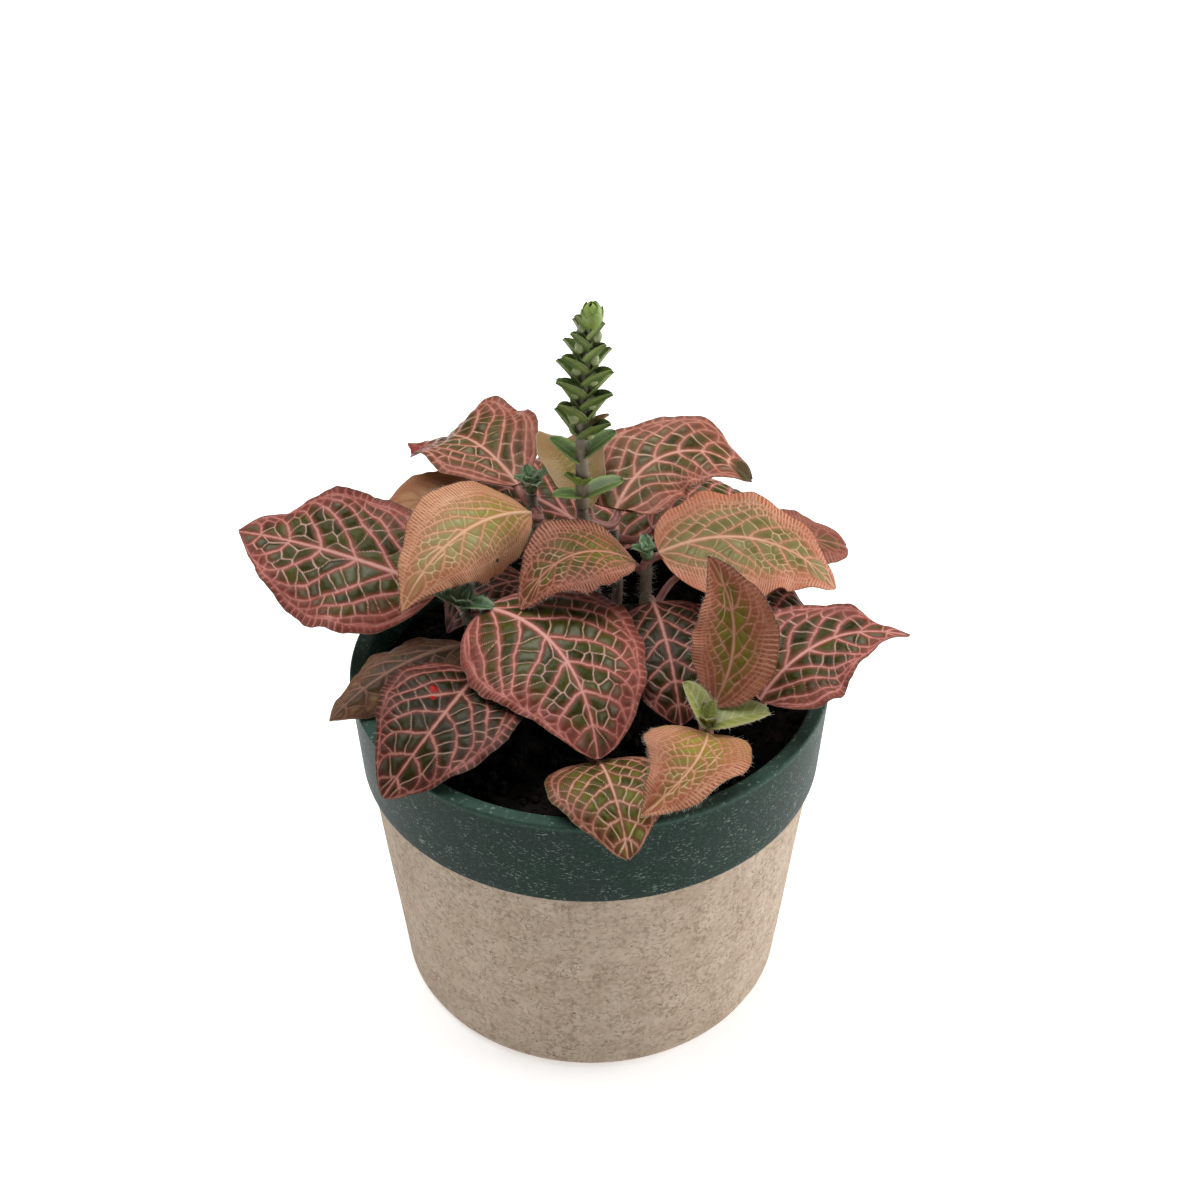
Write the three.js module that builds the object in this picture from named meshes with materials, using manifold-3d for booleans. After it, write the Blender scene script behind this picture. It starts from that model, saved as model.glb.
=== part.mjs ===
// A potted nerve plant: broad net-veined leaves on short stems, a green flower spike and small
// shoot tips, in potting mix, in a fibre pot with a dark green rim collar.
// Millimetres, +Z up. The origin is the centre of the pot's foot, and -Y is the front.
import * as THREE from "three";
import { mergeVertices } from "three/addons/utils/BufferGeometryUtils.js";
import Module from "manifold-3d";

const wasm = await Module();
wasm.setup();

// ---- Driving dimensions ----
const GAP = 0.3; // clearance kept between touching pieces
const POT_HEIGHT = 95;
const POT_SIDES = 48;
const FOOT_RADIUS = 50.5;
const FOOT_ROUNDING = 4;
const SHELL_WALL = 2.2;
const SHELL_FLOOR = 2.5;
const FLOOR_ROUNDING = 3; // inside, where the floor meets the wall
const FOOT_RECESS = 2; // how far the underside is raised between the foot ring and the centre pad
const FOOT_RING = 7; // width of the ring that the pot stands on
const FOOT_PAD_RADIUS = 14; // the pad in the middle of the underside, level with the ring
const COLLAR_HEIGHT = 25.5;
const COLLAR_TOP_RADIUS = 60;
const COLLAR_BOTTOM_RADIUS = 58.4;
const COLLAR_WALL = 1;
const LIP_THICKNESS = 2.5;
const LIP_ROUNDING = 0.8;
const SKIRT_DEPTH = 15; // the collar's inner skirt, from the lip's top
const SKIRT_LEAN = 0.6; // the skirt's foot stands this much further in than its top
const DRAIN_HOLES = 5;
const DRAIN_RADIUS = 3.5;
const DRAIN_CIRCLE = 27; // radius of the ring of drain holes
const SOIL_LEVEL = 84;
const SOIL_RISE = 3; // the mix is heaped this much towards the middle
const SOIL_LUMP = 1.1;
const STEM_ROOTING = 8; // how deep a stem stands in the mix
const STEM_TAPER = 0.8;
const STEM_SIDES = 8;
const PETIOLE_RADIUS = 1.1;
const PETIOLE_SIDES = 5;
const RIB_RADIUS = 0.35; // the petiole runs on under the blade as its rib, thinning to this
const RIB_SHARE = 0.62; // the share of the blade that the rib reaches
const RIB_DEPTH = 0.8; // of the rib's axis below the blade's face
const BLADE_THICKNESS = 0.8;
const BLADE_ROWS = 10; // along a leaf: two for each pair of side veins
const BLADE_COLUMNS = 6;
const BLADE_START = 0.012; // the rows stop just short of the blade's two ends
const BLADE_END = 0.985;
const VEIN_SWEEP = 0.2; // share of the length by which a side vein has run forward at the margin
const VEIN_BEND = 1.35; // how much of that is left to the outer part of the vein
const SWEEP_START = 0.22; // share of the length over which the sweep builds up from the base
const PUFF = 0.45; // how far the blade swells between its veins
const HOOK_START = 0.7; // share of the length where the tip starts to turn down
const OTHER_HAND = 0.37; // of a wave by which the right margin's ripple is ahead of the left's
const TIP_CORE = 1.7; // radius of a shoot tip's core
const SCALE_THICKNESS = 1.8; // of a small leaf or bract at its thickest

const rad = THREE.MathUtils.degToRad;
const { lerp, mapLinear, smoothstep } = THREE.MathUtils;
const V = (x, y, z) => new THREE.Vector3(x, y, z);
const UP = V(0, 0, 1);

// ---- Solids ----
function solidOf(geometry) {
  const bare = geometry.index ? geometry.toNonIndexed() : geometry.clone();
  for (const name of Object.keys(bare.attributes)) {
    if (name !== "position") bare.deleteAttribute(name);
  }
  const merged = mergeVertices(bare, 1e-4);
  return new wasm.Manifold(
    new wasm.Mesh({
      numProp: 3,
      vertProperties: new Float32Array(merged.attributes.position.array),
      triVerts: new Uint32Array(merged.index.array),
    }),
  );
}

function geometryOf(solid) {
  const mesh = solid.getMesh();
  const positions = new Float32Array(mesh.numVert * 3);
  for (let i = 0; i < mesh.numVert; i++) {
    positions.set(mesh.vertProperties.subarray(i * mesh.numProp, i * mesh.numProp + 3), i * 3);
  }
  const geometry = new THREE.BufferGeometry();
  geometry.setAttribute("position", new THREE.BufferAttribute(positions, 3));
  geometry.setIndex(new THREE.BufferAttribute(new Uint32Array(mesh.triVerts), 1));
  geometry.computeVertexNormals();
  return geometry;
}

// A closed skin round two grids of points, one for the upper face and one for the lower.
function slab(upper, lower) {
  const rows = upper.length - 1;
  const columns = upper[0].length - 1;
  const points = [...upper.flat(), ...lower.flat()];
  const top = (i, j) => i * (columns + 1) + j;
  const under = (i, j) => top(i, j) + (rows + 1) * (columns + 1);
  const index = [];
  for (let i = 0; i < rows; i++) {
    for (let j = 0; j < columns; j++) {
      // Both faces are split along the same diagonal, which mirrors about the midrib.
      const [a, b, c, d] = [[i, j], [i + 1, j], [i + 1, j + 1], [i, j + 1]];
      const turned = j >= columns / 2;
      const split = turned ? [[a, b, c], [a, c, d]] : [[a, b, d], [b, c, d]];
      for (const [p, q, r] of split) {
        index.push(top(...p), top(...r), top(...q), under(...p), under(...q), under(...r));
      }
    }
  }
  const rim = [];
  for (let i = 0; i < rows; i++) rim.push([i, 0]);
  for (let j = 0; j < columns; j++) rim.push([rows, j]);
  for (let i = rows; i > 0; i--) rim.push([i, columns]);
  for (let j = columns; j > 0; j--) rim.push([0, j]);
  rim.forEach((p, k) => {
    const q = rim[(k + 1) % rim.length];
    index.push(top(...p), top(...q), under(...p), top(...q), under(...q), under(...p));
  });
  const geometry = new THREE.BufferGeometry().setFromPoints(points);
  geometry.setIndex(index);
  return solidOf(geometry);
}

// A round rod along a curve, tapering from one radius to the other, closed at both ends.
function rod(curve, fromRadius, toRadius, steps, sides) {
  const frames = curve.computeFrenetFrames(steps, false);
  const points = [];
  for (let i = 0; i <= steps; i++) {
    const centre = curve.getPointAt(i / steps);
    const radius = lerp(fromRadius, toRadius, i / steps);
    for (let k = 0; k < sides; k++) {
      const angle = (2 * Math.PI * k) / sides;
      const across = frames.normals[i].clone().multiplyScalar(Math.cos(angle) * radius);
      across.addScaledVector(frames.binormals[i], Math.sin(angle) * radius);
      points.push(centre.clone().add(across));
    }
  }
  const index = [];
  for (let i = 0; i < steps; i++) {
    for (let k = 0; k < sides; k++) {
      const [a, b] = [i * sides + k, i * sides + ((k + 1) % sides)];
      index.push(a, b, b + sides, a, b + sides, a + sides);
    }
  }
  for (let k = 1; k < sides - 1; k++) {
    index.push(0, k + 1, k);
    index.push(steps * sides, steps * sides + k, steps * sides + k + 1);
  }
  const geometry = new THREE.BufferGeometry().setFromPoints(points);
  geometry.setIndex(index);
  return solidOf(geometry);
}

function turned(profile, sides) {
  return solidOf(new THREE.LatheGeometry(profile.map(([r, z]) => new THREE.Vector2(r, z)), sides)
    .rotateX(Math.PI / 2));
}

// ---- Pot ----
// The shell's outer radius leans out evenly, and inside the collar it clears the collar's wall.
const collarFoot = POT_HEIGHT - COLLAR_HEIGHT;
const shellRadiusAtCollar = COLLAR_BOTTOM_RADIUS - COLLAR_WALL - GAP;
const shellTop = POT_HEIGHT - LIP_THICKNESS - GAP;
const shellTopRadius = COLLAR_TOP_RADIUS - COLLAR_WALL - 2 * GAP;
const rebateFoot = POT_HEIGHT - SKIRT_DEPTH - 2;
const shellRadius = (z) => (z < collarFoot
  ? mapLinear(z, FOOT_ROUNDING, collarFoot, FOOT_RADIUS, shellRadiusAtCollar)
  : mapLinear(z, collarFoot, shellTop, shellRadiusAtCollar, shellTopRadius));
const innerTopRadius = shellTopRadius - COLLAR_WALL;

function arcPoints(radiusAt, heightAt, size, fromDegrees, toDegrees, steps) {
  return Array.from({ length: steps + 1 }, (_, i) => {
    const angle = rad(lerp(fromDegrees, toDegrees, i / steps));
    return [radiusAt + size * Math.cos(angle), heightAt + size * Math.sin(angle)];
  });
}

const floorTop = FOOT_RECESS + SHELL_FLOOR;

function potShell() {
  const ringInside = FOOT_RADIUS - FOOT_ROUNDING - FOOT_RING;
  const profile = [
    [0, 0],
    [FOOT_PAD_RADIUS, 0],
    [FOOT_PAD_RADIUS + 1, FOOT_RECESS],
    [ringInside - 1, FOOT_RECESS],
    [ringInside, 0],
    ...arcPoints(FOOT_RADIUS - FOOT_ROUNDING, FOOT_ROUNDING, FOOT_ROUNDING, -90, 0, 3),
    [shellRadius(collarFoot), collarFoot],
    [shellTopRadius, shellTop],
    [innerTopRadius, shellTop],
    [shellRadius(rebateFoot) - COLLAR_WALL, rebateFoot],
    [shellRadius(rebateFoot - 1) - SHELL_WALL, rebateFoot - 1],
    [shellRadius(floorTop) - SHELL_WALL, floorTop + FLOOR_ROUNDING],
    [shellRadius(floorTop) - SHELL_WALL - FLOOR_ROUNDING, floorTop],
    [0, floorTop],
  ];
  let shell = turned(profile, POT_SIDES);
  for (let k = 0; k < DRAIN_HOLES; k++) {
    const angle = (2 * Math.PI * k) / DRAIN_HOLES + Math.PI / 2;
    const drill = new THREE.CylinderGeometry(DRAIN_RADIUS, DRAIN_RADIUS, 4 * SHELL_FLOOR, 12);
    drill.rotateX(Math.PI / 2);
    drill.translate(DRAIN_CIRCLE * Math.cos(angle), DRAIN_CIRCLE * Math.sin(angle), floorTop);
    shell = shell.subtract(solidOf(drill));
  }
  return shell;
}

const skirtFoot = POT_HEIGHT - SKIRT_DEPTH;
const skirtOuter = innerTopRadius - GAP;
const skirtInner = skirtOuter - COLLAR_WALL;

function rimCollar() {
  const under = POT_HEIGHT - LIP_THICKNESS;
  return turned([
    [COLLAR_BOTTOM_RADIUS - COLLAR_WALL, collarFoot],
    [COLLAR_BOTTOM_RADIUS, collarFoot],
    ...arcPoints(COLLAR_TOP_RADIUS - LIP_ROUNDING, POT_HEIGHT - LIP_ROUNDING, LIP_ROUNDING, 0, 90, 2),
    ...arcPoints(skirtInner + LIP_ROUNDING, POT_HEIGHT - LIP_ROUNDING, LIP_ROUNDING, 90, 180, 2),
    [skirtInner - SKIRT_LEAN, skirtFoot],
    [skirtOuter - SKIRT_LEAN, skirtFoot],
    [skirtOuter, under],
    [COLLAR_TOP_RADIUS - COLLAR_WALL, under],
    [COLLAR_BOTTOM_RADIUS - COLLAR_WALL, collarFoot],
  ], POT_SIDES);
}

// ---- Potting mix ----
const lumpAt = (x, y) => SOIL_LUMP
  * (Math.sin(0.31 * x + 1.3) * Math.cos(0.27 * y) + 0.6 * Math.sin(0.53 * y + 0.41 * x));

// The mix keeps clear of the skirt, and its heaped top fades to level there.
const soilRadius = skirtInner - SKIRT_LEAN - GAP;

function soilAt(x, y) {
  const inwards = 1 - Math.min(1, Math.hypot(x, y) / soilRadius) ** 2;
  return SOIL_LEVEL + SOIL_RISE * inwards + lumpAt(x, y) * Math.min(1, 4 * inwards);
}

function pottingMix() {
  const rings = 8;
  const sides = 30;
  const floor = floorTop + GAP;
  const foot = shellRadius(floorTop) - SHELL_WALL - GAP;
  const shoulder = rebateFoot - 2;
  const profile = [
    [0, floor],
    [foot - FLOOR_ROUNDING, floor],
    [foot, floor + FLOOR_ROUNDING],
    [shellRadius(shoulder) - SHELL_WALL - GAP, shoulder],
    [soilRadius, skirtFoot],
  ];
  for (let ring = rings; ring >= 0; ring--) profile.push([(soilRadius * ring) / rings, SOIL_LEVEL]);
  const geometry = new THREE.LatheGeometry(profile.map(([r, z]) => new THREE.Vector2(r, z)), sides);
  geometry.rotateX(Math.PI / 2);
  const at = geometry.attributes.position;
  for (let i = 0; i < at.count; i++) {
    const onTop = at.getZ(i) > SOIL_LEVEL - GAP;
    if (onTop) at.setZ(i, soilAt(at.getX(i), at.getY(i)));
  }
  return solidOf(geometry);
}

// ---- Stems ----
// foot: where the stem leaves the mix (x, y). top: its last node (x, y, z). bow: how far its middle
// leans to the right and to the front.
const STEMS = {
  stem_spike: { foot: [2, 14], top: [-2, 21, 127], radius: 1.9, bow: 1 },
  stem_middle: { foot: [8, 0], top: [14, 9, 119.5], radius: 1.7, bow: 2 },
  stem_back_left: { foot: [-8, 18], top: [-15, 31, 124], radius: 1.7, bow: -2 },
  stem_left: { foot: [-14, -2], top: [-31, 1, 110], radius: 1.7, bow: 2 },
  stem_rim_left: { foot: [-20, -16], top: [-32, -14, 101], radius: 1.5, bow: 1 },
  stem_front: { foot: [0, -24], top: [0, -33, 94], radius: 1.3, bow: 1 },
  stem_front_right: { foot: [18, -21], top: [27.5, -37, 104], radius: 1.5, bow: 2 },
  stem_right: { foot: [25, -6], top: [36, -24, 102], radius: 1.4, bow: -1 },
  stem_back: { foot: [4, 28], top: [6, 38, 108], radius: 1.6, bow: 2 },
};

function stemCurve({ foot, top, bow }) {
  const base = V(...foot, soilAt(...foot) - STEM_ROOTING);
  const end = V(...top);
  const middle = base.clone().lerp(end, 0.5).add(V(bow, -bow, 0));
  return new THREE.CatmullRomCurve3([base, middle, end]);
}

const stemRod = (stem, extra = 0) =>
  rod(stemCurve(stem), stem.radius + extra, stem.radius * STEM_TAPER + extra, 6, STEM_SIDES);

// ---- Leaves ----
// stem, node: the stem that the leaf grows from, and the share of its length where it does.
// base, tip: the blade's two ends. half: its greatest half width, left and right of the midrib.
// belly: where it is widest. point: 1 is a straight taper to the tip, and less is a fuller one.
// arch, sway: how far the midrib rises above its chord and leans to the right.
// hook: how far the tip turns down. roll: degrees that the blade banks to the right.
// fold, curl: degrees that each half rises at the midrib, and turns further towards the margin.
// wave: the margin's ripple, as height, waves along the blade and phase.
const LEAVES = {
  leaf_left: {
    stem: "stem_left", base: [-37.5, 7, 112], tip: [-89.4, 23.8, 118], half: [21, 20],
    belly: 0.4, point: 1.1, arch: 5, sway: -3, roll: -23,
    fold: [2, 4], curl: [-12, -12], wave: [2.3, 2.5, 0.38],
  },
  leaf_front: {
    stem: "stem_left", base: [-26, 0, 112], tip: [2.2, -42.5, 100], half: [24, 22],
    belly: 0.36, point: 0.75, arch: 8, sway: -5, hook: 1, roll: 6,
    fold: [-4, -4], curl: [-16, -16], wave: [0.4, 3, 0.2],
  },
  leaf_left_front: {
    stem: "stem_back_left", base: [-15, 24.5, 123], tip: [-46, -8.5, 118], half: [15, 15],
    belly: 0.38, point: 1.15, arch: 8, sway: 0.8, hook: 2, roll: -8,
    fold: [-22, 16], curl: [-60, -14], wave: [0.6, 3, 0.3],
  },
  leaf_back_left: {
    stem: "stem_back_left", base: [-18.5, 34, 125], tip: [-42, 66, 117], half: [17, 17.5],
    belly: 0.48, point: 0.7, arch: 6.5, hook: 3, roll: -6,
    fold: [16, 16], curl: [-12, -12], wave: [2.2, 2.2, 0.25],
  },
  leaf_left_back: {
    stem: "stem_back_left", node: 0.6, base: [-22, 30, 116], tip: [-56, 36, 116], half: [14, 14],
    belly: 0.42, point: 0.9, arch: 5, hook: 3, roll: -12,
    fold: [0, 0], curl: [-15, -15], wave: [0.8, 3, 0.6],
  },
  leaf_behind_spike: {
    stem: "stem_spike", node: 0.75, base: [0, 26, 123.5], tip: [-6, 49, 131], half: [12.5, 7.5],
    belly: 0.55, point: 0.6, arch: 3, hook: 2, roll: 5,
    fold: [15, 25], curl: [10, 20], wave: [0.8, 2.5, 0.2],
  },
  leaf_back_right: {
    stem: "stem_spike", base: [6.5, 27, 122.5], tip: [42, 41.5, 125.5], half: [14, 13.5],
    belly: 0.27, point: 0.45, arch: 5, sway: -9, hook: 5,
    fold: [24, -10], curl: [-14, -20], wave: [1.0, 2.5, 0.5],
  },
  leaf_middle: {
    stem: "stem_middle", base: [11, 8.5, 119.5], tip: [-17.2, -4.5, 115], half: [13.5, 13.5],
    belly: 0.42, point: 0.95, arch: 8.5, sway: 1.5, hook: 1, roll: -10,
    fold: [12, 8], curl: [-18, -18], wave: [0.8, 2.5, 0.4],
  },
  leaf_right: {
    stem: "stem_middle", base: [17, 9.5, 121.5], tip: [61.7, 8, 112], half: [17.5, 20.5],
    belly: 0.34, point: 0.8, arch: 7, sway: -4, hook: 1, roll: 8,
    fold: [6, 2], curl: [-15, -15], wave: [0.9, 4, 0.2],
  },
  leaf_right_behind: {
    stem: "stem_middle", node: 0.6, base: [24, 18, 110], tip: [66, 27, 111.5], half: [14, 14],
    belly: 0.42, point: 0.5, arch: 5, hook: 1, roll: 4,
    fold: [6, 6], curl: [-18, -18], wave: [0.8, 3, 0.2],
  },
  leaf_front_inner: {
    stem: "stem_middle", node: 0.75, base: [15.5, 4, 110.5], tip: [22, -28, 98], half: [16, 16],
    belly: 0.36, point: 0.8, arch: 5, hook: 1, roll: 6,
    fold: [0, 0], curl: [-18, -18], wave: [0.5, 3, 0.2],
  },
  leaf_rim_left: {
    stem: "stem_rim_left", base: [-27, -15.5, 103.5], tip: [-48.8, -46.3, 91], half: [18, 18],
    belly: 0.35, point: 0.9, arch: 7, sway: -3.5, roll: -4,
    fold: [10, 10], curl: [-16, -16], wave: [0.5, 3, 0.2],
  },
  leaf_left_low: {
    stem: "stem_left", node: 0.5, base: [-31, -1, 101], tip: [-63, -25, 96.5], half: [12, 8.5],
    belly: 0.4, point: 1, arch: 4.5, sway: 0.5,
    fold: [-34, 4], curl: [-25, -20], wave: [0.8, 3, 0.2],
  },
  leaf_rim_front: {
    stem: "stem_front", base: [2, -39, 96.5], tip: [9, -65.5, 91], half: [15, 15.5],
    belly: 0.32, point: 0.8, arch: 5.5, hook: 1.5,
    fold: [4, 6], curl: [-14, -14], wave: [0.4, 3, 0.2],
  },
  leaf_shoot_upright: {
    stem: "stem_front_right", base: [28.8, -33, 108.5], tip: [27.4, -13, 138], half: [11, 11.5],
    belly: 0.4, point: 1.1, arch: 1, sway: 5.5,
    fold: [20, 26], curl: [-8, -8], wave: [0.5, 3, 0.2],
  },
  leaf_shoot_front: {
    stem: "stem_front_right", base: [27.5, -39, 105], tip: [11.3, -59.4, 98], half: [12.5, 14],
    belly: 0.3, point: 1.1, arch: 5, sway: -5, roll: 12,
    fold: [6, 26], curl: [-16, -16], wave: [0.9, 2, 0.2],
  },
  leaf_right_low: {
    stem: "stem_right", base: [40.5, -28, 106], tip: [77, -15, 115], half: [15.5, 17],
    belly: 0.28, point: 1.35, arch: 6, sway: -4, roll: 8,
    fold: [8, 8], curl: [-12, -12], wave: [1.0, 3, 0.2],
  },
  leaf_left_under: {
    stem: "stem_back_left", node: 0.5, base: [-15, 19, 105.5], tip: [-37, 8, 99], half: [11, 13],
    belly: 0.42, point: 0.9, arch: 5, hook: 2,
    fold: [5, 5], curl: [-20, -20], wave: [0.9, 3, 0.5],
  },
  leaf_right_under: {
    stem: "stem_middle", node: 0.42, base: [28, 8, 101], tip: [60, 9, 98], half: [14, 14],
    belly: 0.42, point: 0.9, arch: 6, hook: 2,
    fold: [5, 5], curl: [-20, -20], wave: [0.9, 3, 0.15],
  },
  leaf_back_low_left: {
    stem: "stem_back", base: [-4, 43, 107], tip: [-46, 70, 96], half: [18, 19],
    belly: 0.42, point: 0.9, arch: 8, hook: 2,
    fold: [5, 5], curl: [-22, -22], wave: [1.0, 3, 0.7],
  },
  leaf_back_middle: {
    stem: "stem_back", node: 0.7, base: [7, 44, 97], tip: [7, 87, 92], half: [21, 21],
    belly: 0.42, point: 0.9, arch: 8, hook: 2,
    fold: [5, 5], curl: [-22, -22], wave: [1.0, 3, 0.1],
  },
  leaf_back_low_right: {
    stem: "stem_back", base: [16, 40, 107], tip: [52, 62, 96], half: [17, 17],
    belly: 0.42, point: 0.9, arch: 6, hook: 2,
    fold: [5, 5], curl: [-22, -22], wave: [1.0, 3, 0.4],
  },
};

// The blade's half width at share x, as a share of its greatest.
function widthOf({ belly, point }) {
  const round = (point * belly) / (1 - belly);
  const peak = belly ** round * (1 - belly) ** point;
  return (x) => (x ** round * (1 - x) ** point) / peak;
}

// The midrib's place, its direction, and the blade's right-hand and upward directions at share x.
function midrib(leaf) {
  const base = V(...leaf.base);
  const chord = V(...leaf.tip).sub(base);
  const along = chord.clone().normalize();
  const right = along.clone().cross(UP).normalize();
  const up = right.clone().cross(along);
  const place = (x) => {
    const bow = 4 * x * (1 - x);
    const hooked = Math.max(0, (x - HOOK_START) / (1 - HOOK_START)) ** 2;
    return base.clone().addScaledVector(chord, x)
      .addScaledVector(up, leaf.arch * bow - leaf.hook * hooked)
      .addScaledVector(right, leaf.sway * bow);
  };
  const bank = rad(leaf.roll);
  const step = 0.01;
  return (x) => {
    const tangent = place(x + step).sub(place(x - step)).normalize();
    const side = right.clone().multiplyScalar(Math.cos(bank)).addScaledVector(up, -Math.sin(bank));
    side.addScaledVector(tangent, -side.dot(tangent)).normalize();
    return { place: place(x), tangent, side, normal: side.clone().cross(tangent) };
  };
}

// Gives the blade's point at share s along its veins' roots and share t across, from -1 at the left
// margin to 1 at the right. Each half is an arc, which starts at the fold and turns by the curl.
function bladeOf(leaf) {
  const frameAt = midrib(leaf);
  const widthAt = widthOf(leaf);
  const [height, waves, phase] = leaf.wave;
  return (s, t, puff) => {
    const sweep = VEIN_SWEEP * smoothstep(s, 0, SWEEP_START) * (1 - s);
    const x = s + sweep * Math.abs(t) ** VEIN_BEND;
    const hand = t < 0 ? 0 : 1;
    const fold = rad(leaf.fold[hand]);
    const bend = rad(leaf.curl[hand]) / leaf.half[hand];
    const turn = fold + bend * Math.abs(t) * leaf.half[hand] * widthAt(x);
    const across = (Math.sin(turn) - Math.sin(fold)) / bend;
    const ripple = height * t * t * Math.sin(2 * Math.PI * (waves * x + phase + OTHER_HAND * hand));
    const lift = (Math.cos(fold) - Math.cos(turn)) / bend + ripple * Math.min(1, 5 * s * (1 - s));
    const frame = frameAt(x);
    return frame.place.addScaledVector(frame.side, Math.sign(t) * across)
      .addScaledVector(frame.normal, lift + puff);
  };
}

function blade(leaf) {
  const pointAt = bladeOf(leaf);
  const rows = Array.from({ length: BLADE_ROWS + 1 }, (_, i) =>
    lerp(BLADE_START, BLADE_END, i / BLADE_ROWS));
  const upper = rows.map((s, i) => Array.from({ length: BLADE_COLUMNS + 1 }, (_, j) => {
    const t = (2 * j) / BLADE_COLUMNS - 1;
    const swelling = i % 2 === 1 && t !== 0 && Math.abs(t) < 1;
    return pointAt(s, t, swelling ? PUFF : 0);
  }));
  const lower = upper.map((row, i) => row.map((point, j) => {
    const before = upper[Math.max(i - 1, 0)][j];
    const after = upper[Math.min(i + 1, BLADE_ROWS)][j];
    const left = row[Math.max(j - 1, 0)];
    const right = row[Math.min(j + 1, BLADE_COLUMNS)];
    const normal = right.clone().sub(left).cross(after.clone().sub(before)).normalize();
    return point.clone().addScaledVector(normal, -BLADE_THICKNESS);
  }));
  return slab(upper, lower);
}

function petiole(leaf) {
  const frameAt = midrib(leaf);
  const below = (x, depth) => {
    const { place, normal } = frameAt(x);
    return place.addScaledVector(normal, -depth);
  };
  const path = new THREE.CatmullRomCurve3([
    stemCurve(STEMS[leaf.stem]).getPointAt(leaf.node),
    below(0, PETIOLE_RADIUS).addScaledVector(frameAt(0).tangent, -4),
    below(0.06, PETIOLE_RADIUS),
    below(RIB_SHARE / 2, RIB_DEPTH),
    below(RIB_SHARE, RIB_DEPTH),
  ], false, "centripetal");
  return rod(path, PETIOLE_RADIUS, RIB_RADIUS, 7, PETIOLE_SIDES);
}

// Blade and petiole as one leaf, cut clear of the stem that it grows from. The cut can leave a
// sliver on the stem's far side, and only the leaf itself is kept.
function leafSolid(settings) {
  const leaf = { node: 0.93, sway: 0, hook: 0, roll: 0, ...settings };
  const cut = blade(leaf).add(petiole(leaf)).subtract(stemRod(STEMS[leaf.stem], GAP));
  return cut.decompose().reduce((a, b) => (a.volume() > b.volume() ? a : b));
}

// ---- Flower spike and shoot tips ----
// A small pointed leaf from its root, turned about the vertical and raised above the level.
function scale(root, turnDegrees, riseDegrees, length, width, thickness) {
  const [side, face, widest] = [width / 2, thickness / 2, 0.4 * length];
  const geometry = new THREE.BufferGeometry().setFromPoints([
    V(0, 0, 0), V(side, widest, 0), V(0, widest, face), V(-side, widest, 0), V(0, widest, -face),
    V(0, length, 0),
  ]);
  geometry.setIndex([
    0, 1, 2, 0, 2, 3, 0, 3, 4, 0, 4, 1, 5, 2, 1, 5, 3, 2, 5, 4, 3, 5, 1, 4,
  ]);
  geometry.rotateX(rad(riseDegrees)).rotateZ(rad(turnDegrees - 90));
  geometry.translate(root.x, root.y, root.z);
  return solidOf(geometry);
}

// Each tier holds a pair of opposite bracts, turned by the heading to one hand and the other by turns.
// A crowding below 1 draws the tiers together upwards.
const SPIKE = {
  top: [0.6, 21, 182.5], radius: [1.7, 1.1], bud: [7, 4.8], tiers: 10, tierShares: [0.35, 0.89],
  tierCrowding: 0.85, bractLengths: [10.6, 7], bractRises: [48, 68], bractBreadth: 0.48, heading: 20,
  // The leaflets below the bracts: share of the height, heading, rise, length.
  leaflets: [[0.06, -160, 20, 8], [0.06, 12, 24, 11], [0.24, 165, 42, 10], [0.27, 12, 42, 10.5]],
};

function flowerSpike() {
  const { top, radius, tiers, tierShares, bractLengths, bractRises, bractBreadth, bud } = SPIKE;
  const foot = V(...STEMS.stem_spike.top).add(V(0, 0, 2 * GAP));
  const middle = foot.clone().lerp(V(...top), 0.5).add(V(-1, 0, 0));
  const curve = new THREE.CatmullRomCurve3([foot, middle, V(...top)]);
  let spike = rod(curve, ...radius, 5, 6);
  for (let tier = 0; tier < tiers; tier++) {
    const share = tier / (tiers - 1);
    const root = curve.getPointAt(lerp(...tierShares, share ** SPIKE.tierCrowding));
    const length = lerp(...bractLengths, share ** 2);
    const rise = lerp(...bractRises, share ** 2);
    const heading = tier % 2 ? SPIKE.heading : -SPIKE.heading;
    for (const turn of [heading, heading + 180]) {
      spike = spike.add(scale(root, turn, rise, length, bractBreadth * length, SCALE_THICKNESS));
    }
  }
  spike = spike.add(scale(V(top[0], top[1], top[2] - bud[0] / 2), 0, 90, bud[0], bud[1], bud[1]));
  for (const [share, turn, rise, length] of SPIKE.leaflets) {
    const root = curve.getPointAt(share);
    spike = spike.add(scale(root, turn, rise, length, length / 2, SCALE_THICKNESS));
  }
  return spike;
}

// A shoot tip sits on a stem's top. Each small leaf is given by its heading, rise and length.
const TIPS = {
  tip_back_left: {
    stem: "stem_back_left",
    leaves: [[200, 50, 6], [290, 45, 6], [20, 50, 6], [110, 55, 6], [245, 70, 5], [335, 72, 5]],
  },
  tip_left: {
    stem: "stem_left", leaves: [[165, 20, 8], [-20, 12, 8], [250, 50, 6], [70, 50, 6], [30, 70, 4]],
  },
  tip_middle: { stem: "stem_middle", leaves: [[200, 40, 5], [100, 45, 5], [-40, 60, 4]] },
  tip_front_right: {
    stem: "stem_front_right", leaves: [[10, 12, 15], [150, 62, 12], [60, 70, 6], [-100, 60, 5]],
  },
};

function shootTip({ stem, leaves }) {
  const heart = V(...STEMS[stem].top).add(V(0, 0, TIP_CORE + 2 * GAP));
  let tip = solidOf(new THREE.IcosahedronGeometry(TIP_CORE, 0).translate(...heart));
  for (const [turn, rise, length] of leaves) {
    tip = tip.add(scale(heart, turn, rise, length, 0.5 + 0.45 * length, SCALE_THICKNESS));
  }
  return tip;
}

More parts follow.
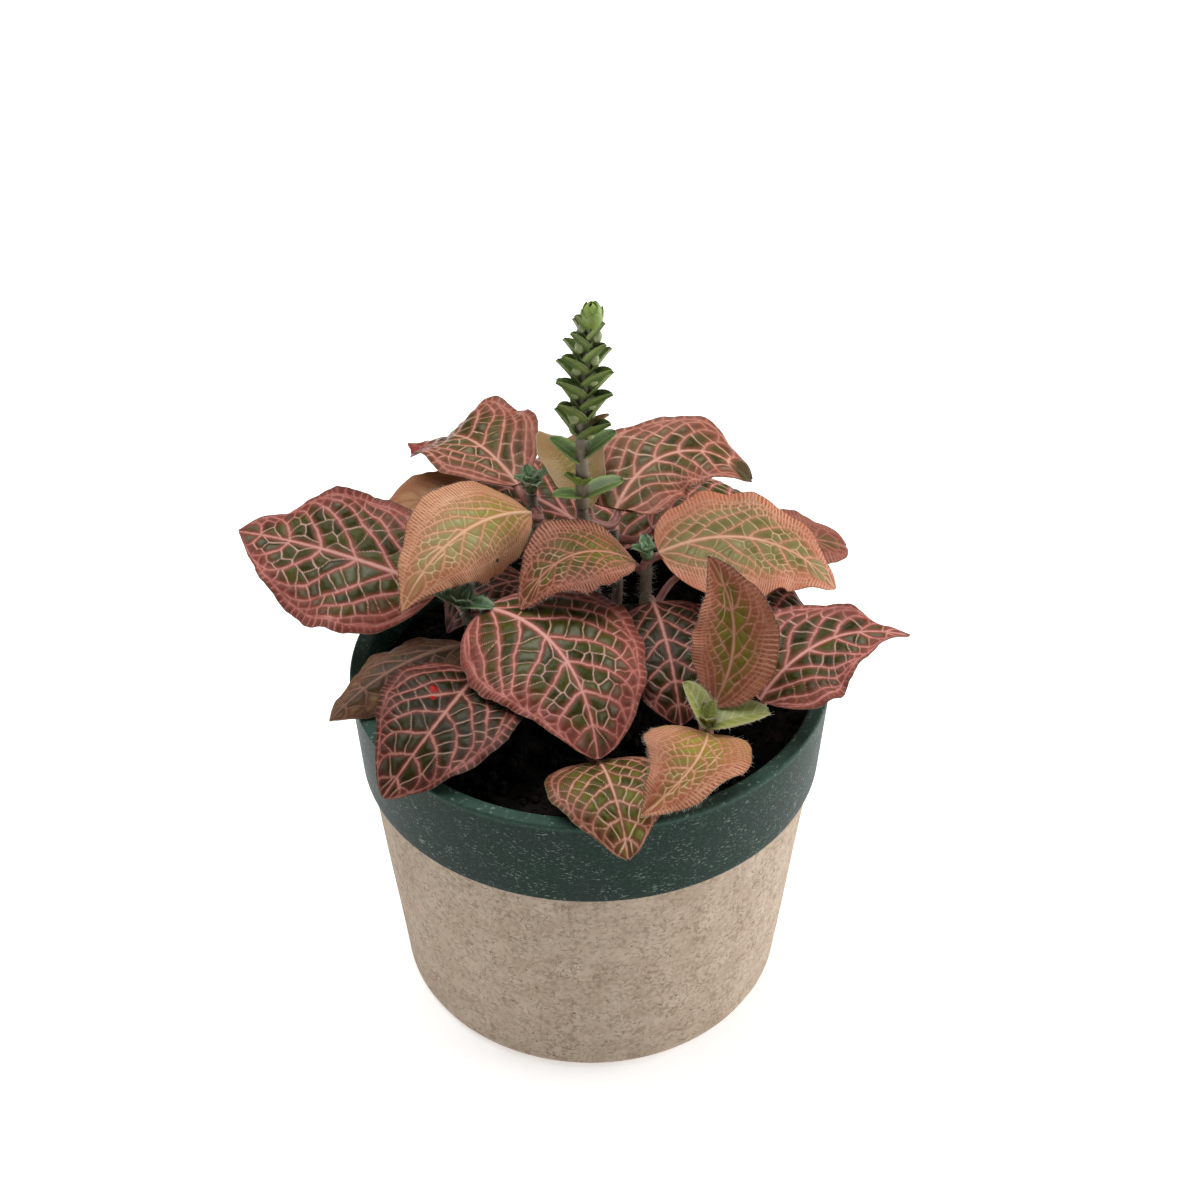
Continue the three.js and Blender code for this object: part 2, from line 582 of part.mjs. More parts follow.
// ---- Colours ----
const finish = (color, roughness) => new THREE.MeshStandardMaterial({ color, roughness, metalness: 0 });
const FIBRE = finish(0xb3a28f, 0.85);
const GREEN_PLASTIC = finish(0x2c4a42, 0.45);
const SOIL = finish(0x1a1411, 0.95);
const MATURE_LEAF = finish(0x74504a, 0.5);
const YOUNG_LEAF = finish(0x9c6a4c, 0.6);
const GREEN_SHOOT = finish(0x4f7a35, 0.5);
const STEM = finish(0x7a6a5a, 0.7);
const YOUNG_LEAVES = [
  "leaf_left_front", "leaf_left_back", "leaf_middle", "leaf_right", "leaf_right_behind",
  "leaf_behind_spike", "leaf_shoot_upright", "leaf_shoot_front",
];

// ---- Assembly ----
const plant = new THREE.Group();

function place(name, solid, material) {
  const mesh = new THREE.Mesh(geometryOf(solid), material);
  mesh.name = name;
  plant.add(mesh);
}

place("pot_shell", potShell(), FIBRE);
place("rim_collar", rimCollar(), GREEN_PLASTIC);
const holes = Object.values(STEMS).map((stem) => stemRod(stem, GAP));
place("potting_mix", wasm.Manifold.difference([pottingMix(), ...holes]), SOIL);
for (const [name, stem] of Object.entries(STEMS)) place(name, stemRod(stem), STEM);
for (const [name, leaf] of Object.entries(LEAVES)) {
  place(name, leafSolid(leaf), YOUNG_LEAVES.includes(name) ? YOUNG_LEAF : MATURE_LEAF);
}
place("flower_spike", flowerSpike(), GREEN_SHOOT);
for (const [name, tip] of Object.entries(TIPS)) place(name, shootTip(tip), GREEN_SHOOT);

export default plant;
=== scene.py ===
"""A potted nerve plant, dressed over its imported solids.

The solids hold every piece's place and size. This script grows a fine surface over each of them:
blades with their raised cells and net of veins, stems and leaf stalks with hairs, the flower spike's
bracts, shoot tips, crumbly potting mix, the fibre pot and its flecked rim collar. Lengths in the
classes are millimetres, and a mesh is turned to metres when it is made.
"""

import logging
import math
from collections.abc import Callable
from dataclasses import dataclass, field, replace
from enum import Enum

import bpy
import numpy as np
from mathutils import Euler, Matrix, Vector

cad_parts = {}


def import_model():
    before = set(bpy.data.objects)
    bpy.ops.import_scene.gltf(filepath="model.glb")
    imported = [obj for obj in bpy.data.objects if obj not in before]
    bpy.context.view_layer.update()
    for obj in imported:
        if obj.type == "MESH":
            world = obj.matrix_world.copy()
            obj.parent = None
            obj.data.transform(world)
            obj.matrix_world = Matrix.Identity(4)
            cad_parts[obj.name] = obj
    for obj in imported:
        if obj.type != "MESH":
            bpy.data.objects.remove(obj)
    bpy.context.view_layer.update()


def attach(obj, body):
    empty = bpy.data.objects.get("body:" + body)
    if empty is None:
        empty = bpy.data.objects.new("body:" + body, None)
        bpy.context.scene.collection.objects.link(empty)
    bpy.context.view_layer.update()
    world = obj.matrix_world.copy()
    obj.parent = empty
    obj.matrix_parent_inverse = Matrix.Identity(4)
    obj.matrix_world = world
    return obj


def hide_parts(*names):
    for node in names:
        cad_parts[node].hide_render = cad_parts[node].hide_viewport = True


LOG = logging.getLogger("nerve plant")
MM = 0.001
UP = np.array([0.0, 0.0, 1.0])
BODY = "root"

Array = np.ndarray
Random = np.random.Generator
Material = bpy.types.Material
Socket = bpy.types.NodeSocket
Colour = tuple[float, float, float]
Place = tuple[float, float, float]
Pair = tuple[float, float]
Term = "Value | float"
Shade = Colour | Socket
WHITE = (1.0, 1.0, 1.0)
NO_STRETCH = (1.0, 1.0, 1.0)
SMOOTH_STEP = {"interpolation_type": "SMOOTHSTEP", "clamp": True}


# ---- Shader maths ----
@dataclass(frozen=True, eq=False)
class Value:
    """A number that varies over a surface: a sheet's output socket that Python's operators extend."""

    sheet: "Sheet"
    socket: Socket

    def __add__(self, other: Term) -> "Value":
        """This number plus another."""
        return self.sheet.maths("ADD", self, other)

    def __sub__(self, other: Term) -> "Value":
        """This number less another."""
        return self.sheet.maths("SUBTRACT", self, other)

    def __rsub__(self, other: Term) -> "Value":
        """Another number less this one."""
        return self.sheet.maths("SUBTRACT", other, self)

    def __mul__(self, other: Term) -> "Value":
        """This number times another."""
        return self.sheet.maths("MULTIPLY", self, other)

    __radd__ = __add__
    __rmul__ = __mul__

    def size(self) -> "Value":
        """The number without its sign."""
        return self.sheet.maths("ABSOLUTE", self)

    def clamped(self) -> "Value":
        """The number held between 0 and 1."""
        return self.sheet.maths("ADD", self, 0.0, clamp=True)

    def rise(self, low: float, high: float) -> "Value":
        """A smooth step up: 0 up to the first number and 1 from the second on."""
        inputs = {"Value": self, "From Min": low, "From Max": high}
        return Value(self.sheet, self.sheet.node("ShaderNodeMapRange", SMOOTH_STEP, inputs).outputs[0])

    def fall(self, high: float, low: float) -> "Value":
        """A smooth step down: 1 up to the first number and 0 from the second on."""
        return 1.0 - self.rise(high, low)


class Sheet:
    """The node tree of one material."""

    def __init__(self, name: str) -> None:
        """Starts a material with an empty tree.

        Args:
            name: the material's name.
        """
        self.material = bpy.data.materials.new(name)
        self.material.use_nodes = True
        self.tree = self.material.node_tree
        self.tree.nodes.clear()
        self._place: Socket | None = None

    def node(self, kind: str, settings: dict | None = None, inputs: dict | None = None) -> bpy.types.Node:
        """Adds a node.

        Args:
            kind: the node's type.
            settings: its properties, which are set first.
            inputs: a value, a Value or a socket for each input, by name or number.

        Returns:
            The node.
        """
        made = self.tree.nodes.new(kind)
        for name, value in (settings or {}).items():
            setattr(made, name, value)
        for key, value in (inputs or {}).items():
            source = value.socket if isinstance(value, Value) else value
            if isinstance(source, Socket):
                self.tree.links.new(source, made.inputs[key])
            else:
                made.inputs[key].default_value = source
        return made

    def maths(self, operation: str, *terms: Term, clamp: bool = False) -> Value:
        """What a Math node works out from its numbers, in order."""
        settings = {"operation": operation, "use_clamp": clamp}
        return Value(self, self.node("ShaderNodeMath", settings, dict(enumerate(terms))).outputs[0])

    def mix(self, share: Term, first: Shade, second: Shade) -> Socket:
        """Mixes two colours.

        Args:
            share: how much of the second colour shows.
            first: a colour or a colour socket.
            second: a colour or a colour socket.

        Returns:
            The mixed colour.
        """
        sides = [(*side, 1.0) if isinstance(side, tuple) else side for side in (first, second)]
        inputs = {0: share, 6: sides[0], 7: sides[1]}
        return self.node("ShaderNodeMix", {"data_type": "RGBA"}, inputs).outputs[2]

    def marks(self, name: str) -> list[Value]:
        """The three numbers that a mesh holds at each vertex under a name."""
        vector = self.node("ShaderNodeAttribute", {"attribute_name": name}).outputs["Vector"]
        parts = self.node("ShaderNodeSeparateXYZ", inputs={0: vector})
        return [Value(self, output) for output in parts.outputs]

    def spread(self, size: float, stretch: Place = NO_STRETCH) -> Socket:
        """Places in units of a feature's size.

        Args:
            size: the size in mm.
            stretch: how many times as long the features are along X, Y and Z.

        Returns:
            The place's socket.
        """
        if self._place is None:
            self._place = self.node("ShaderNodeTexCoord").outputs["Object"]
        scale = tuple(1.0 / (MM * size * along) for along in stretch)
        return self.node("ShaderNodeMapping", inputs={"Vector": self._place, "Scale": scale}).outputs[0]

    def noise(self, size: float, detail: float = 2.0, stretch: Place = NO_STRETCH) -> Value:
        """Cloudy noise round 0.5, by its clouds' size in mm, its finer layers and how long they are."""
        inputs = {"Vector": self.spread(size, stretch), "Scale": 1.0, "Detail": detail}
        return Value(self, self.node("ShaderNodeTexNoise", inputs=inputs).outputs[0])

    def dots(self, size: float) -> Value:
        """The distance to the nearest of many scattered dots, a mesh size apart, in mesh sizes."""
        inputs = {"Vector": self.spread(size), "Scale": 1.0}
        return Value(self, self.node("ShaderNodeTexVoronoi", inputs=inputs).outputs["Distance"])

    def done(
        self, colour: Shade, roughness: Term, sheen: float = 0.5, height: Value | None = None,
        depth: float = 0.0, glow: dict | None = None,
    ) -> Material:
        """Closes the material with its shader.

        Args:
            colour: its base colour.
            roughness: its roughness.
            sheen: its specular level.
            height: a relief from 0 to 1.
            depth: the relief's height in mm.
            glow: the shader's inputs for light that it gives off.

        Returns:
            The material.
        """
        inputs = {"Base Color": colour, "Roughness": roughness, "Specular IOR Level": sheen, **(glow or {})}
        if height is not None:
            bump = {"Height": height, "Distance": depth * MM, "Strength": 1.0}
            inputs["Normal"] = self.node("ShaderNodeBump", inputs=bump).outputs[0]
        shader = self.node("ShaderNodeBsdfPrincipled", inputs=inputs)
        self.node("ShaderNodeOutputMaterial", inputs={0: shader.outputs[0]})
        return self.material


# ---- Finishes ----
@dataclass(frozen=True)
class BladeFinish:
    """A blade's colours and gloss. Colours are linear."""

    name: str
    heart: Colour  # the cells in the blade's middle
    pale: Colour  # the palest of them
    outer: Colour  # the cells towards the margin
    halo: Colour  # what gathers round the veins
    link: Colour  # the thin veins between the side veins
    vein: Colour  # the midrib and side veins
    rim: Colour  # the margin itself
    under: Colour
    # Painted highlight: a grey sheen on the crowns of the cells, in patches, where light would glint on them.
    painted_highlight: Colour  # the grey crowns of the cells
    heart_ends: Pair = (0.55, 1.05)
    halo_share: float = 0.7
    link_share: float = 0.85
    vein_share: float = 1.0
    base: Colour = (0.0, 0.0, 0.0)  # what shows near the leaf stalk, by its share
    base_share: float = 0.0
    # How strong the painted highlight on the cells' crowns is.
    painted_highlight_share: float = 0.5
    lines: float = 0.0  # fine lines along the margin, counted over the blade's length
    roughness: float = 0.38
    sheen: float = 0.12
    under_roughness: float = 0.6
    under_sheen: float = 0.3
    flaw_colours: tuple[Colour, ...] = ((0.22, 0.025, 0.022), (0.30, 0.004, 0.004), (0.07, 0.045, 0.016))

    def upper(self) -> Material:
        """The upper face's material."""
        sheet = Sheet(f"{self.name} upper face")
        major, minor, cell = sheet.marks("veins")
        along, across, margin = sheet.marks("spot")
        dark, red, blush = sheet.marks("flaws")
        cloud = sheet.noise(9.0, 3.0)
        grain = sheet.noise(0.8, 2.0)
        # The cells: darker in the blade's heart, another colour outwards, with a painted grey highlight on
        # their crowns.
        outward = across.size() + (along - 0.4).size() * 0.75 + (cloud - 0.5) * 0.6
        share = outward.rise(*self.heart_ends)
        cells = sheet.mix((cell * 0.75 + (grain - 0.5) * 0.5).clamped(), self.heart, self.pale)
        cells = sheet.mix(share, cells, self.outer)
        young = (1.0 - along * 1.5 - across.size() * 0.45 + (cloud - 0.5) * 0.9).rise(0.15, 0.65)
        cells = sheet.mix(young * self.base_share, cells, self.base)
        # Painted highlight: a grey sheen on the cells' crowns, away from the veins, in patches.
        painted_highlight_mask = minor.rise(0.3, 1.3) * major.rise(0.2, 1.3) * sheet.noise(11.0).rise(0.48, 0.64)
        cells = sheet.mix((painted_highlight_mask * (self.painted_highlight_share + (grain - 0.5) * 0.4)).clamped(), cells, self.painted_highlight)
        # What gathers round the veins, and the fine lines along the margin of a young blade.
        frayed = major + (sheet.noise(1.7) - 0.5) * 0.5
        near = frayed.fall(0.0, 1.35) + minor.fall(0.0, 0.8) * (share * 0.5 + 0.15)
        colour = sheet.mix((near * self.halo_share + (grain - 0.5) * 0.2).clamped(), cells, self.halo)
        if self.lines:
            wave = along * (self.lines * math.tau) + sheet.noise(2.5) * 5.0
            comb = sheet.maths("SINE", wave)
            patches = sheet.noise(11.0, 2.0).rise(0.40, 0.60)
            fringe = across.size().rise(0.35, 0.8) * (0.35 + patches * 0.75)
            colour = sheet.mix((comb.rise(0.0, 0.9) * fringe * 0.6).clamped(), colour, self.link)
            colour = sheet.mix((comb.fall(-0.95, -0.1) * fringe * 0.4).clamped(), colour, self.rim)
        # The veins, the thin ones first.
        patchy = 0.35 + sheet.noise(5.0) * 1.1
        vein = sheet.mix((share * 0.3 + (cloud - 0.5) * 1.0).clamped(), self.vein, self.halo)
        link = sheet.mix(share.rise(0.1, 0.9), self.link, vein)
        colour = sheet.mix((minor.fall(-0.07, 0.2) * patchy * self.link_share).clamped(), colour, link)
        colour = sheet.mix(frayed.fall(-0.25, 0.3) * self.vein_share, colour, vein)
        core = major.fall(-0.35, -0.05) * (grain + 0.1)
        colour = sheet.mix(core.clamped(), colour, self.link)
        colour = sheet.mix(margin.fall(0.1, 0.5) * 0.6, colour, self.rim)
        flaws = (blush * (cloud + 0.3), red.rise(0.2, 0.6), dark.rise(0.2, 0.6))
        for flaw, flaw_colour in zip(flaws, self.flaw_colours):
            colour = sheet.mix(flaw, colour, flaw_colour)
        gloss = self.roughness + (grain - 0.5) * 0.22 + major.fall(-0.1, 0.4) * 0.12
        return sheet.done(colour, gloss, self.sheen, grain * 0.6 + sheet.noise(0.3) * 0.4, 0.05)

    def lower(self) -> Material:
        """The under face's material."""
        sheet = Sheet(f"{self.name} under face")
        major, minor, _ = sheet.marks("veins")
        grain = sheet.noise(0.8, 2.0)
        colour = sheet.mix((sheet.noise(6.0) * 0.9).clamped(), self.under, self.outer)
        colour = sheet.mix(minor.fall(-0.1, 0.3) * 0.3, colour, self.link)
        colour = sheet.mix(major.fall(-0.1, 0.35) * 0.7, colour, self.vein)
        gloss = self.under_roughness + (grain - 0.5) * 0.2
        return sheet.done(colour, gloss, self.under_sheen, grain, 0.08)


class Look(Enum):
    """The finishes that the plant's blades have, from the oldest leaves to the youngest."""

    DEEP = BladeFinish(
        "deep", heart=(0.021, 0.023, 0.002), pale=(0.080, 0.082, 0.013), outer=(0.150, 0.036, 0.026),
        halo=(0.265, 0.073, 0.052), link=(0.66, 0.40, 0.33), vein=(0.60, 0.25, 0.215),
        rim=(0.10, 0.08, 0.05), under=(0.11, 0.075, 0.045), painted_highlight=(0.25, 0.25, 0.19), halo_share=0.8,
        painted_highlight_share=0.42,
    )
    # Painted shade: the deep finish darkened throughout, for the leaves that lie in the shade of others.
    SHADED = BladeFinish(
        "shaded", heart=(0.009, 0.009, 0.001), pale=(0.028, 0.026, 0.004), outer=(0.040, 0.013, 0.007),
        halo=(0.130, 0.034, 0.025), link=(0.42, 0.26, 0.20), vein=(0.42, 0.17, 0.135),
        rim=(0.08, 0.055, 0.035), under=(0.09, 0.055, 0.035), painted_highlight=(0.11, 0.11, 0.08), painted_highlight_share=0.35,
    )
    DUSK = BladeFinish(
        "dusk", heart=(0.036, 0.026, 0.014), pale=(0.065, 0.048, 0.030), outer=(0.21, 0.11, 0.050),
        halo=(0.085, 0.040, 0.027), link=(0.24, 0.15, 0.090), vein=(0.21, 0.11, 0.075),
        rim=(0.26, 0.15, 0.07), under=(0.25, 0.17, 0.08), painted_highlight=(0.09, 0.075, 0.06),
        heart_ends=(0.25, 0.85),
    )
    FRESH = BladeFinish(
        "fresh", heart=(0.033, 0.035, 0.004), pale=(0.15, 0.155, 0.016), outer=(0.066, 0.028, 0.011),
        halo=(0.19, 0.060, 0.034), link=(0.68, 0.46, 0.32), vein=(0.60, 0.31, 0.22), rim=(0.13, 0.12, 0.05),
        under=(0.12, 0.09, 0.04), painted_highlight=(0.23, 0.26, 0.07),
    )
    OLIVE = BladeFinish(
        "olive", heart=(0.042, 0.036, 0.007), pale=(0.115, 0.095, 0.024), outer=(0.155, 0.050, 0.028),
        halo=(0.29, 0.092, 0.060), link=(0.64, 0.42, 0.31), vein=(0.58, 0.27, 0.20), rim=(0.25, 0.15, 0.10),
        under=(0.13, 0.10, 0.05), painted_highlight=(0.29, 0.27, 0.17), heart_ends=(0.45, 1.0),
    )
    AMBER = BladeFinish(
        "amber", heart=(0.23, 0.20, 0.070), pale=(0.34, 0.31, 0.13), outer=(0.37, 0.125, 0.056),
        halo=(0.40, 0.145, 0.075), link=(0.72, 0.48, 0.30), vein=(0.67, 0.38, 0.23),
        rim=(0.17, 0.075, 0.030), under=(0.17, 0.075, 0.040), painted_highlight=(0.46, 0.47, 0.30),
        base=(0.21, 0.22, 0.022), base_share=0.85, heart_ends=(0.3, 0.95), halo_share=0.6, link_share=0.95,
        vein_share=0.9, roughness=0.46, lines=64.0,
    )
    RUSSET = BladeFinish(
        "russet", heart=(0.33, 0.17, 0.08), pale=(0.36, 0.20, 0.10), outer=(0.32, 0.13, 0.058),
        halo=(0.25, 0.10, 0.05), link=(0.42, 0.24, 0.13), vein=(0.22, 0.09, 0.05), rim=(0.20, 0.10, 0.05),
        under=(0.20, 0.10, 0.05), painted_highlight=(0.36, 0.22, 0.12), heart_ends=(0.4, 0.9), halo_share=0.4,
        link_share=0.5, vein_share=0.6, roughness=0.5, lines=70.0,
    )
    TAN = BladeFinish(
        "tan", heart=(0.14, 0.115, 0.03), pale=(0.22, 0.17, 0.06), outer=(0.22, 0.12, 0.045),
        halo=(0.18, 0.11, 0.04), link=(0.38, 0.29, 0.16), vein=(0.30, 0.20, 0.10), rim=(0.36, 0.30, 0.22),
        under=(0.20, 0.15, 0.08), painted_highlight=(0.28, 0.22, 0.12), base=(0.27, 0.21, 0.04), base_share=0.6,
        heart_ends=(0.4, 0.9), halo_share=0.4, link_share=0.6, vein_share=0.6, roughness=0.5, lines=40.0,
    )
    CORAL = BladeFinish(
        "coral", heart=(0.12, 0.105, 0.026), pale=(0.22, 0.20, 0.075), outer=(0.40, 0.105, 0.044),
        halo=(0.36, 0.15, 0.085), link=(0.62, 0.40, 0.27), vein=(0.60, 0.28, 0.19), rim=(0.20, 0.07, 0.035),
        under=(0.20, 0.13, 0.065), painted_highlight=(0.36, 0.36, 0.22), heart_ends=(0.5, 1.0), halo_share=0.5,
        vein_share=0.85, roughness=0.46, lines=62.0,
    )
    ROSE = BladeFinish(
        "rose", heart=(0.050, 0.050, 0.009), pale=(0.12, 0.115, 0.024), outer=(0.140, 0.034, 0.019),
        halo=(0.21, 0.064, 0.038), link=(0.56, 0.31, 0.21), vein=(0.52, 0.23, 0.145),
        rim=(0.13, 0.045, 0.03), under=(0.20, 0.10, 0.06), painted_highlight=(0.26, 0.25, 0.10),
        base=(0.16, 0.19, 0.02), base_share=0.6, heart_ends=(0.35, 0.85), halo_share=0.6, vein_share=0.9,
        roughness=0.46, lines=40.0,
    )
    BRONZE = BladeFinish(
        "bronze", heart=(0.075, 0.072, 0.006), pale=(0.16, 0.16, 0.018), outer=(0.25, 0.072, 0.036),
        halo=(0.25, 0.078, 0.042), link=(0.54, 0.32, 0.20), vein=(0.50, 0.22, 0.145),
        rim=(0.16, 0.06, 0.03), under=(0.22, 0.10, 0.06), painted_highlight=(0.20, 0.22, 0.05), heart_ends=(0.25, 0.75),
        halo_share=0.5, vein_share=0.85, roughness=0.48, lines=40.0,
    )
    APRICOT = BladeFinish(
        "apricot", heart=(0.15, 0.125, 0.018), pale=(0.24, 0.19, 0.045), outer=(0.33, 0.092, 0.050),
        halo=(0.33, 0.095, 0.052), link=(0.68, 0.44, 0.28), vein=(0.60, 0.34, 0.20), rim=(0.22, 0.12, 0.05),
        under=(0.26, 0.15, 0.08), painted_highlight=(0.34, 0.31, 0.12), base=(0.26, 0.26, 0.035), base_share=0.8,
        heart_ends=(0.3, 0.9), halo_share=0.6, roughness=0.5, lines=46.0,
    )
    PINK = BladeFinish(
        "pink", heart=(0.10, 0.065, 0.024), pale=(0.16, 0.10, 0.045), outer=(0.22, 0.058, 0.040),
        halo=(0.22, 0.080, 0.055), link=(0.42, 0.21, 0.15), vein=(0.40, 0.16, 0.12), rim=(0.15, 0.08, 0.05),
        under=(0.16, 0.11, 0.06), painted_highlight=(0.25, 0.19, 0.12), heart_ends=(0.4, 0.95), halo_share=0.5,
        link_share=0.8, vein_share=0.8, roughness=0.5, lines=44.0,
    )


@dataclass(frozen=True)
class FleshFinish:
    """Stems, leaf stalks, pods and the spike's axis: two colours that drift into each other."""

    name: str
    first: Colour
    second: Colour
    drift: float = 5.0  # mm from one colour to the other
    roughness: float = 0.45

    def material(self) -> Material:
        """The material."""
        sheet = Sheet(self.name)
        grain = sheet.noise(0.5, 3.0, stretch=(1.0, 1.0, 2.5))
        cloud = sheet.noise(self.drift, 2.0)
        share = ((cloud - 0.5) * 2.2 + 0.5 + (grain - 0.5) * 0.5).clamped()
        colour = sheet.mix(share, self.first, self.second)
        gloss = self.roughness + (grain - 0.5) * 0.3
        return sheet.done(colour, gloss, height=grain, depth=0.12)


@dataclass(frozen=True)
class ScaleFinish:
    """Bracts and leaflets: darker in the middle, paler along the edges and towards the root."""

    name: str
    middle: Colour
    edge: Colour
    root: Colour
    ribs: float = 0.0  # side veins to each hand
    roughness: float = 0.42

    def material(self) -> Material:
        """The material. It reads the scale's own "spot" marks: along, across and how pale it is."""
        sheet = Sheet(self.name)
        along, across, shade = sheet.marks("spot")
        grain = sheet.noise(0.45, 3.0)
        cloud = sheet.noise(2.5, 2.0)
        edge = across.size().rise(0.45, 1.0) * 0.7 + (cloud - 0.5) * 0.5 + shade * 0.55
        colour = sheet.mix((edge + (grain - 0.5) * 0.4).clamped(), self.middle, self.edge)
        colour = sheet.mix(along.fall(0.0, 0.35) * 0.7, colour, self.root)
        rib = across.size().fall(0.02, 0.10) * 0.4
        if self.ribs:
            wave = (along * self.ribs - across.size() * 1.3 + (cloud - 0.5) * 0.5) * math.tau
            rib = (rib + sheet.maths("SINE", wave).rise(0.55, 0.95) * 0.55).clamped()
        colour = sheet.mix(rib, colour, self.edge)
        gloss = self.roughness + (grain - 0.5) * 0.3
        return sheet.done(colour, gloss, height=grain, depth=0.1)


@dataclass(frozen=True)
class HairFinish:
    """The fine pale hairs on stems and margins."""

    light: Colour = (0.60, 0.56, 0.50)
    dark: Colour = (0.40, 0.37, 0.32)
    roughness: float = 0.6

    def material(self) -> Material:
        """The material."""
        sheet = Sheet("pale hairs")
        colour = sheet.mix(sheet.noise(3.0), self.light, self.dark)
        return sheet.done(colour, self.roughness)


@dataclass(frozen=True)
class FibreFinish:
    """The pot's moulded plant fibre: a warm grey beige felt of short curled fibres."""

    ground: Colour = (0.41, 0.312, 0.225)
    pale: Colour = (0.56, 0.455, 0.355)
    brown: Colour = (0.20, 0.142, 0.092)
    light: Colour = (0.62, 0.54, 0.46)
    speck: Colour = (0.07, 0.045, 0.028)
    roughness: float = 0.86
    sheen: float = 0.25

    def material(self) -> Material:
        """The material."""
        sheet = Sheet("moulded plant fibre")
        cloud = sheet.noise(7.0, 3.0)
        tuft = sheet.noise(2.2, 2.0)
        grain = sheet.noise(0.5, 2.0)
        colour = sheet.mix(((cloud - 0.5) * 1.6 + 0.5 + (tuft - 0.5) * 0.8).clamped(), self.ground, self.pale)
        fibres = (sheet.noise(1.7, 1.5) - 0.5).size().fall(0.0, 0.035)
        fibres = fibres * sheet.noise(3.5).rise(0.38, 0.56)
        light = (sheet.noise(1.9, 1.5, stretch=(1.0, 1.0, 0.8)) - 0.5).size().fall(0.0, 0.025)
        light = light * sheet.noise(3.1).rise(0.46, 0.60)
        colour = sheet.mix(fibres * 0.8, colour, self.brown)
        colour = sheet.mix(light * 0.7, colour, self.light)
        patches = sheet.noise(6.0, 2.0).rise(0.38, 0.66)
        mottle = sheet.noise(1.3, 3.0).rise(0.42, 0.66) * (0.22 + patches * 0.35)
        colour = sheet.mix(mottle, colour, self.brown)
        specks = sheet.dots(3.2).fall(0.07, 0.12) * sheet.noise(5.0).rise(0.5, 0.56)
        colour = sheet.mix(specks * 0.85, colour, self.speck)
        height = tuft * 0.45 + grain * 0.3 + light * 0.25 + fibres * 0.15
        return sheet.done(colour, self.roughness + (grain - 0.5) * 0.1, self.sheen, height, 0.35)


@dataclass(frozen=True)
class CollarFinish:
    """The rim collar's satin dark green moulding, with fine pale flecks and a paler green on the lip's top.
    """

    green: Colour = (0.008, 0.027, 0.018)
    blue: Colour = (0.011, 0.025, 0.021)
    fleck: Colour = (0.22, 0.28, 0.24)
    lip: Colour = (0.040, 0.082, 0.062)
    top: float = 95.0  # the lip's height in mm
    roughness: float = 0.46
    sheen: float = 0.09

    def material(self) -> Material:
        """The material. Its "spot" marks are the radius, the height and nothing."""
        sheet = Sheet("flecked green moulding")
        _, height, _ = sheet.marks("spot")
        colour = sheet.mix(sheet.noise(14.0, 3.0).rise(0.35, 0.65), self.green, self.blue)
        grain = sheet.noise(0.35, 2.0)
        colour = sheet.mix(grain.rise(0.5, 0.75) * 0.4, colour, self.lip)
        short = sheet.noise(0.5, 1.0, stretch=(2.2, 2.2, 0.7)).rise(0.61, 0.70)
        tall = sheet.noise(0.4, 1.0, stretch=(0.8, 0.8, 2.4)).rise(0.66, 0.75)
        long = (sheet.noise(1.5, 1.0, stretch=(1.6, 1.6, 0.8)) - 0.5).size().fall(0.0, 0.02)
        long = long * sheet.noise(2.4).rise(0.6, 0.66)
        worn = sheet.noise(6.0, 3.0).rise(0.40, 0.62)
        flecks = ((short + tall * 0.7) * (worn * 0.8 + 0.2) + long * 0.7).clamped()
        colour = sheet.mix(flecks * 0.75, colour, self.fleck)
        # Paler green in patches over the top of the lip.
        lip_tint = height.rise(self.top - 2.2, self.top - 0.8) * (0.35 + sheet.noise(2.0) * 0.7)
        colour = sheet.mix(lip_tint.clamped(), colour, self.lip)
        dust = sheet.noise(1.1, 2.0).rise(0.62, 0.72) * height.rise(self.top - 1.6, self.top - 0.3)
        colour = sheet.mix(dust * 0.55, colour, self.fleck)
        return sheet.done(colour, self.roughness + (grain - 0.5) * 0.2, self.sheen, grain, 0.08)


@dataclass(frozen=True)
class MixFinish:
    """Dark potting mix: peat crumbs with a few brown fibres."""

    peat: Colour = (0.0035, 0.003, 0.0025)
    crumb: Colour = (0.018, 0.012, 0.009)
    fibre: Colour = (0.06, 0.038, 0.026)
    roughness: float = 0.9
    sheen: float = 0.15

    def material(self) -> Material:
        """The material."""
        sheet = Sheet("dark potting mix")
        grain = sheet.noise(0.7, 4.0)
        colour = sheet.mix(sheet.noise(4.0, 4.0).rise(0.45, 0.7), self.peat, self.crumb)
        colour = sheet.mix(grain.rise(0.66, 0.74) * 0.5, colour, self.fibre)
        return sheet.done(colour, self.roughness, self.sheen, grain, 0.9)


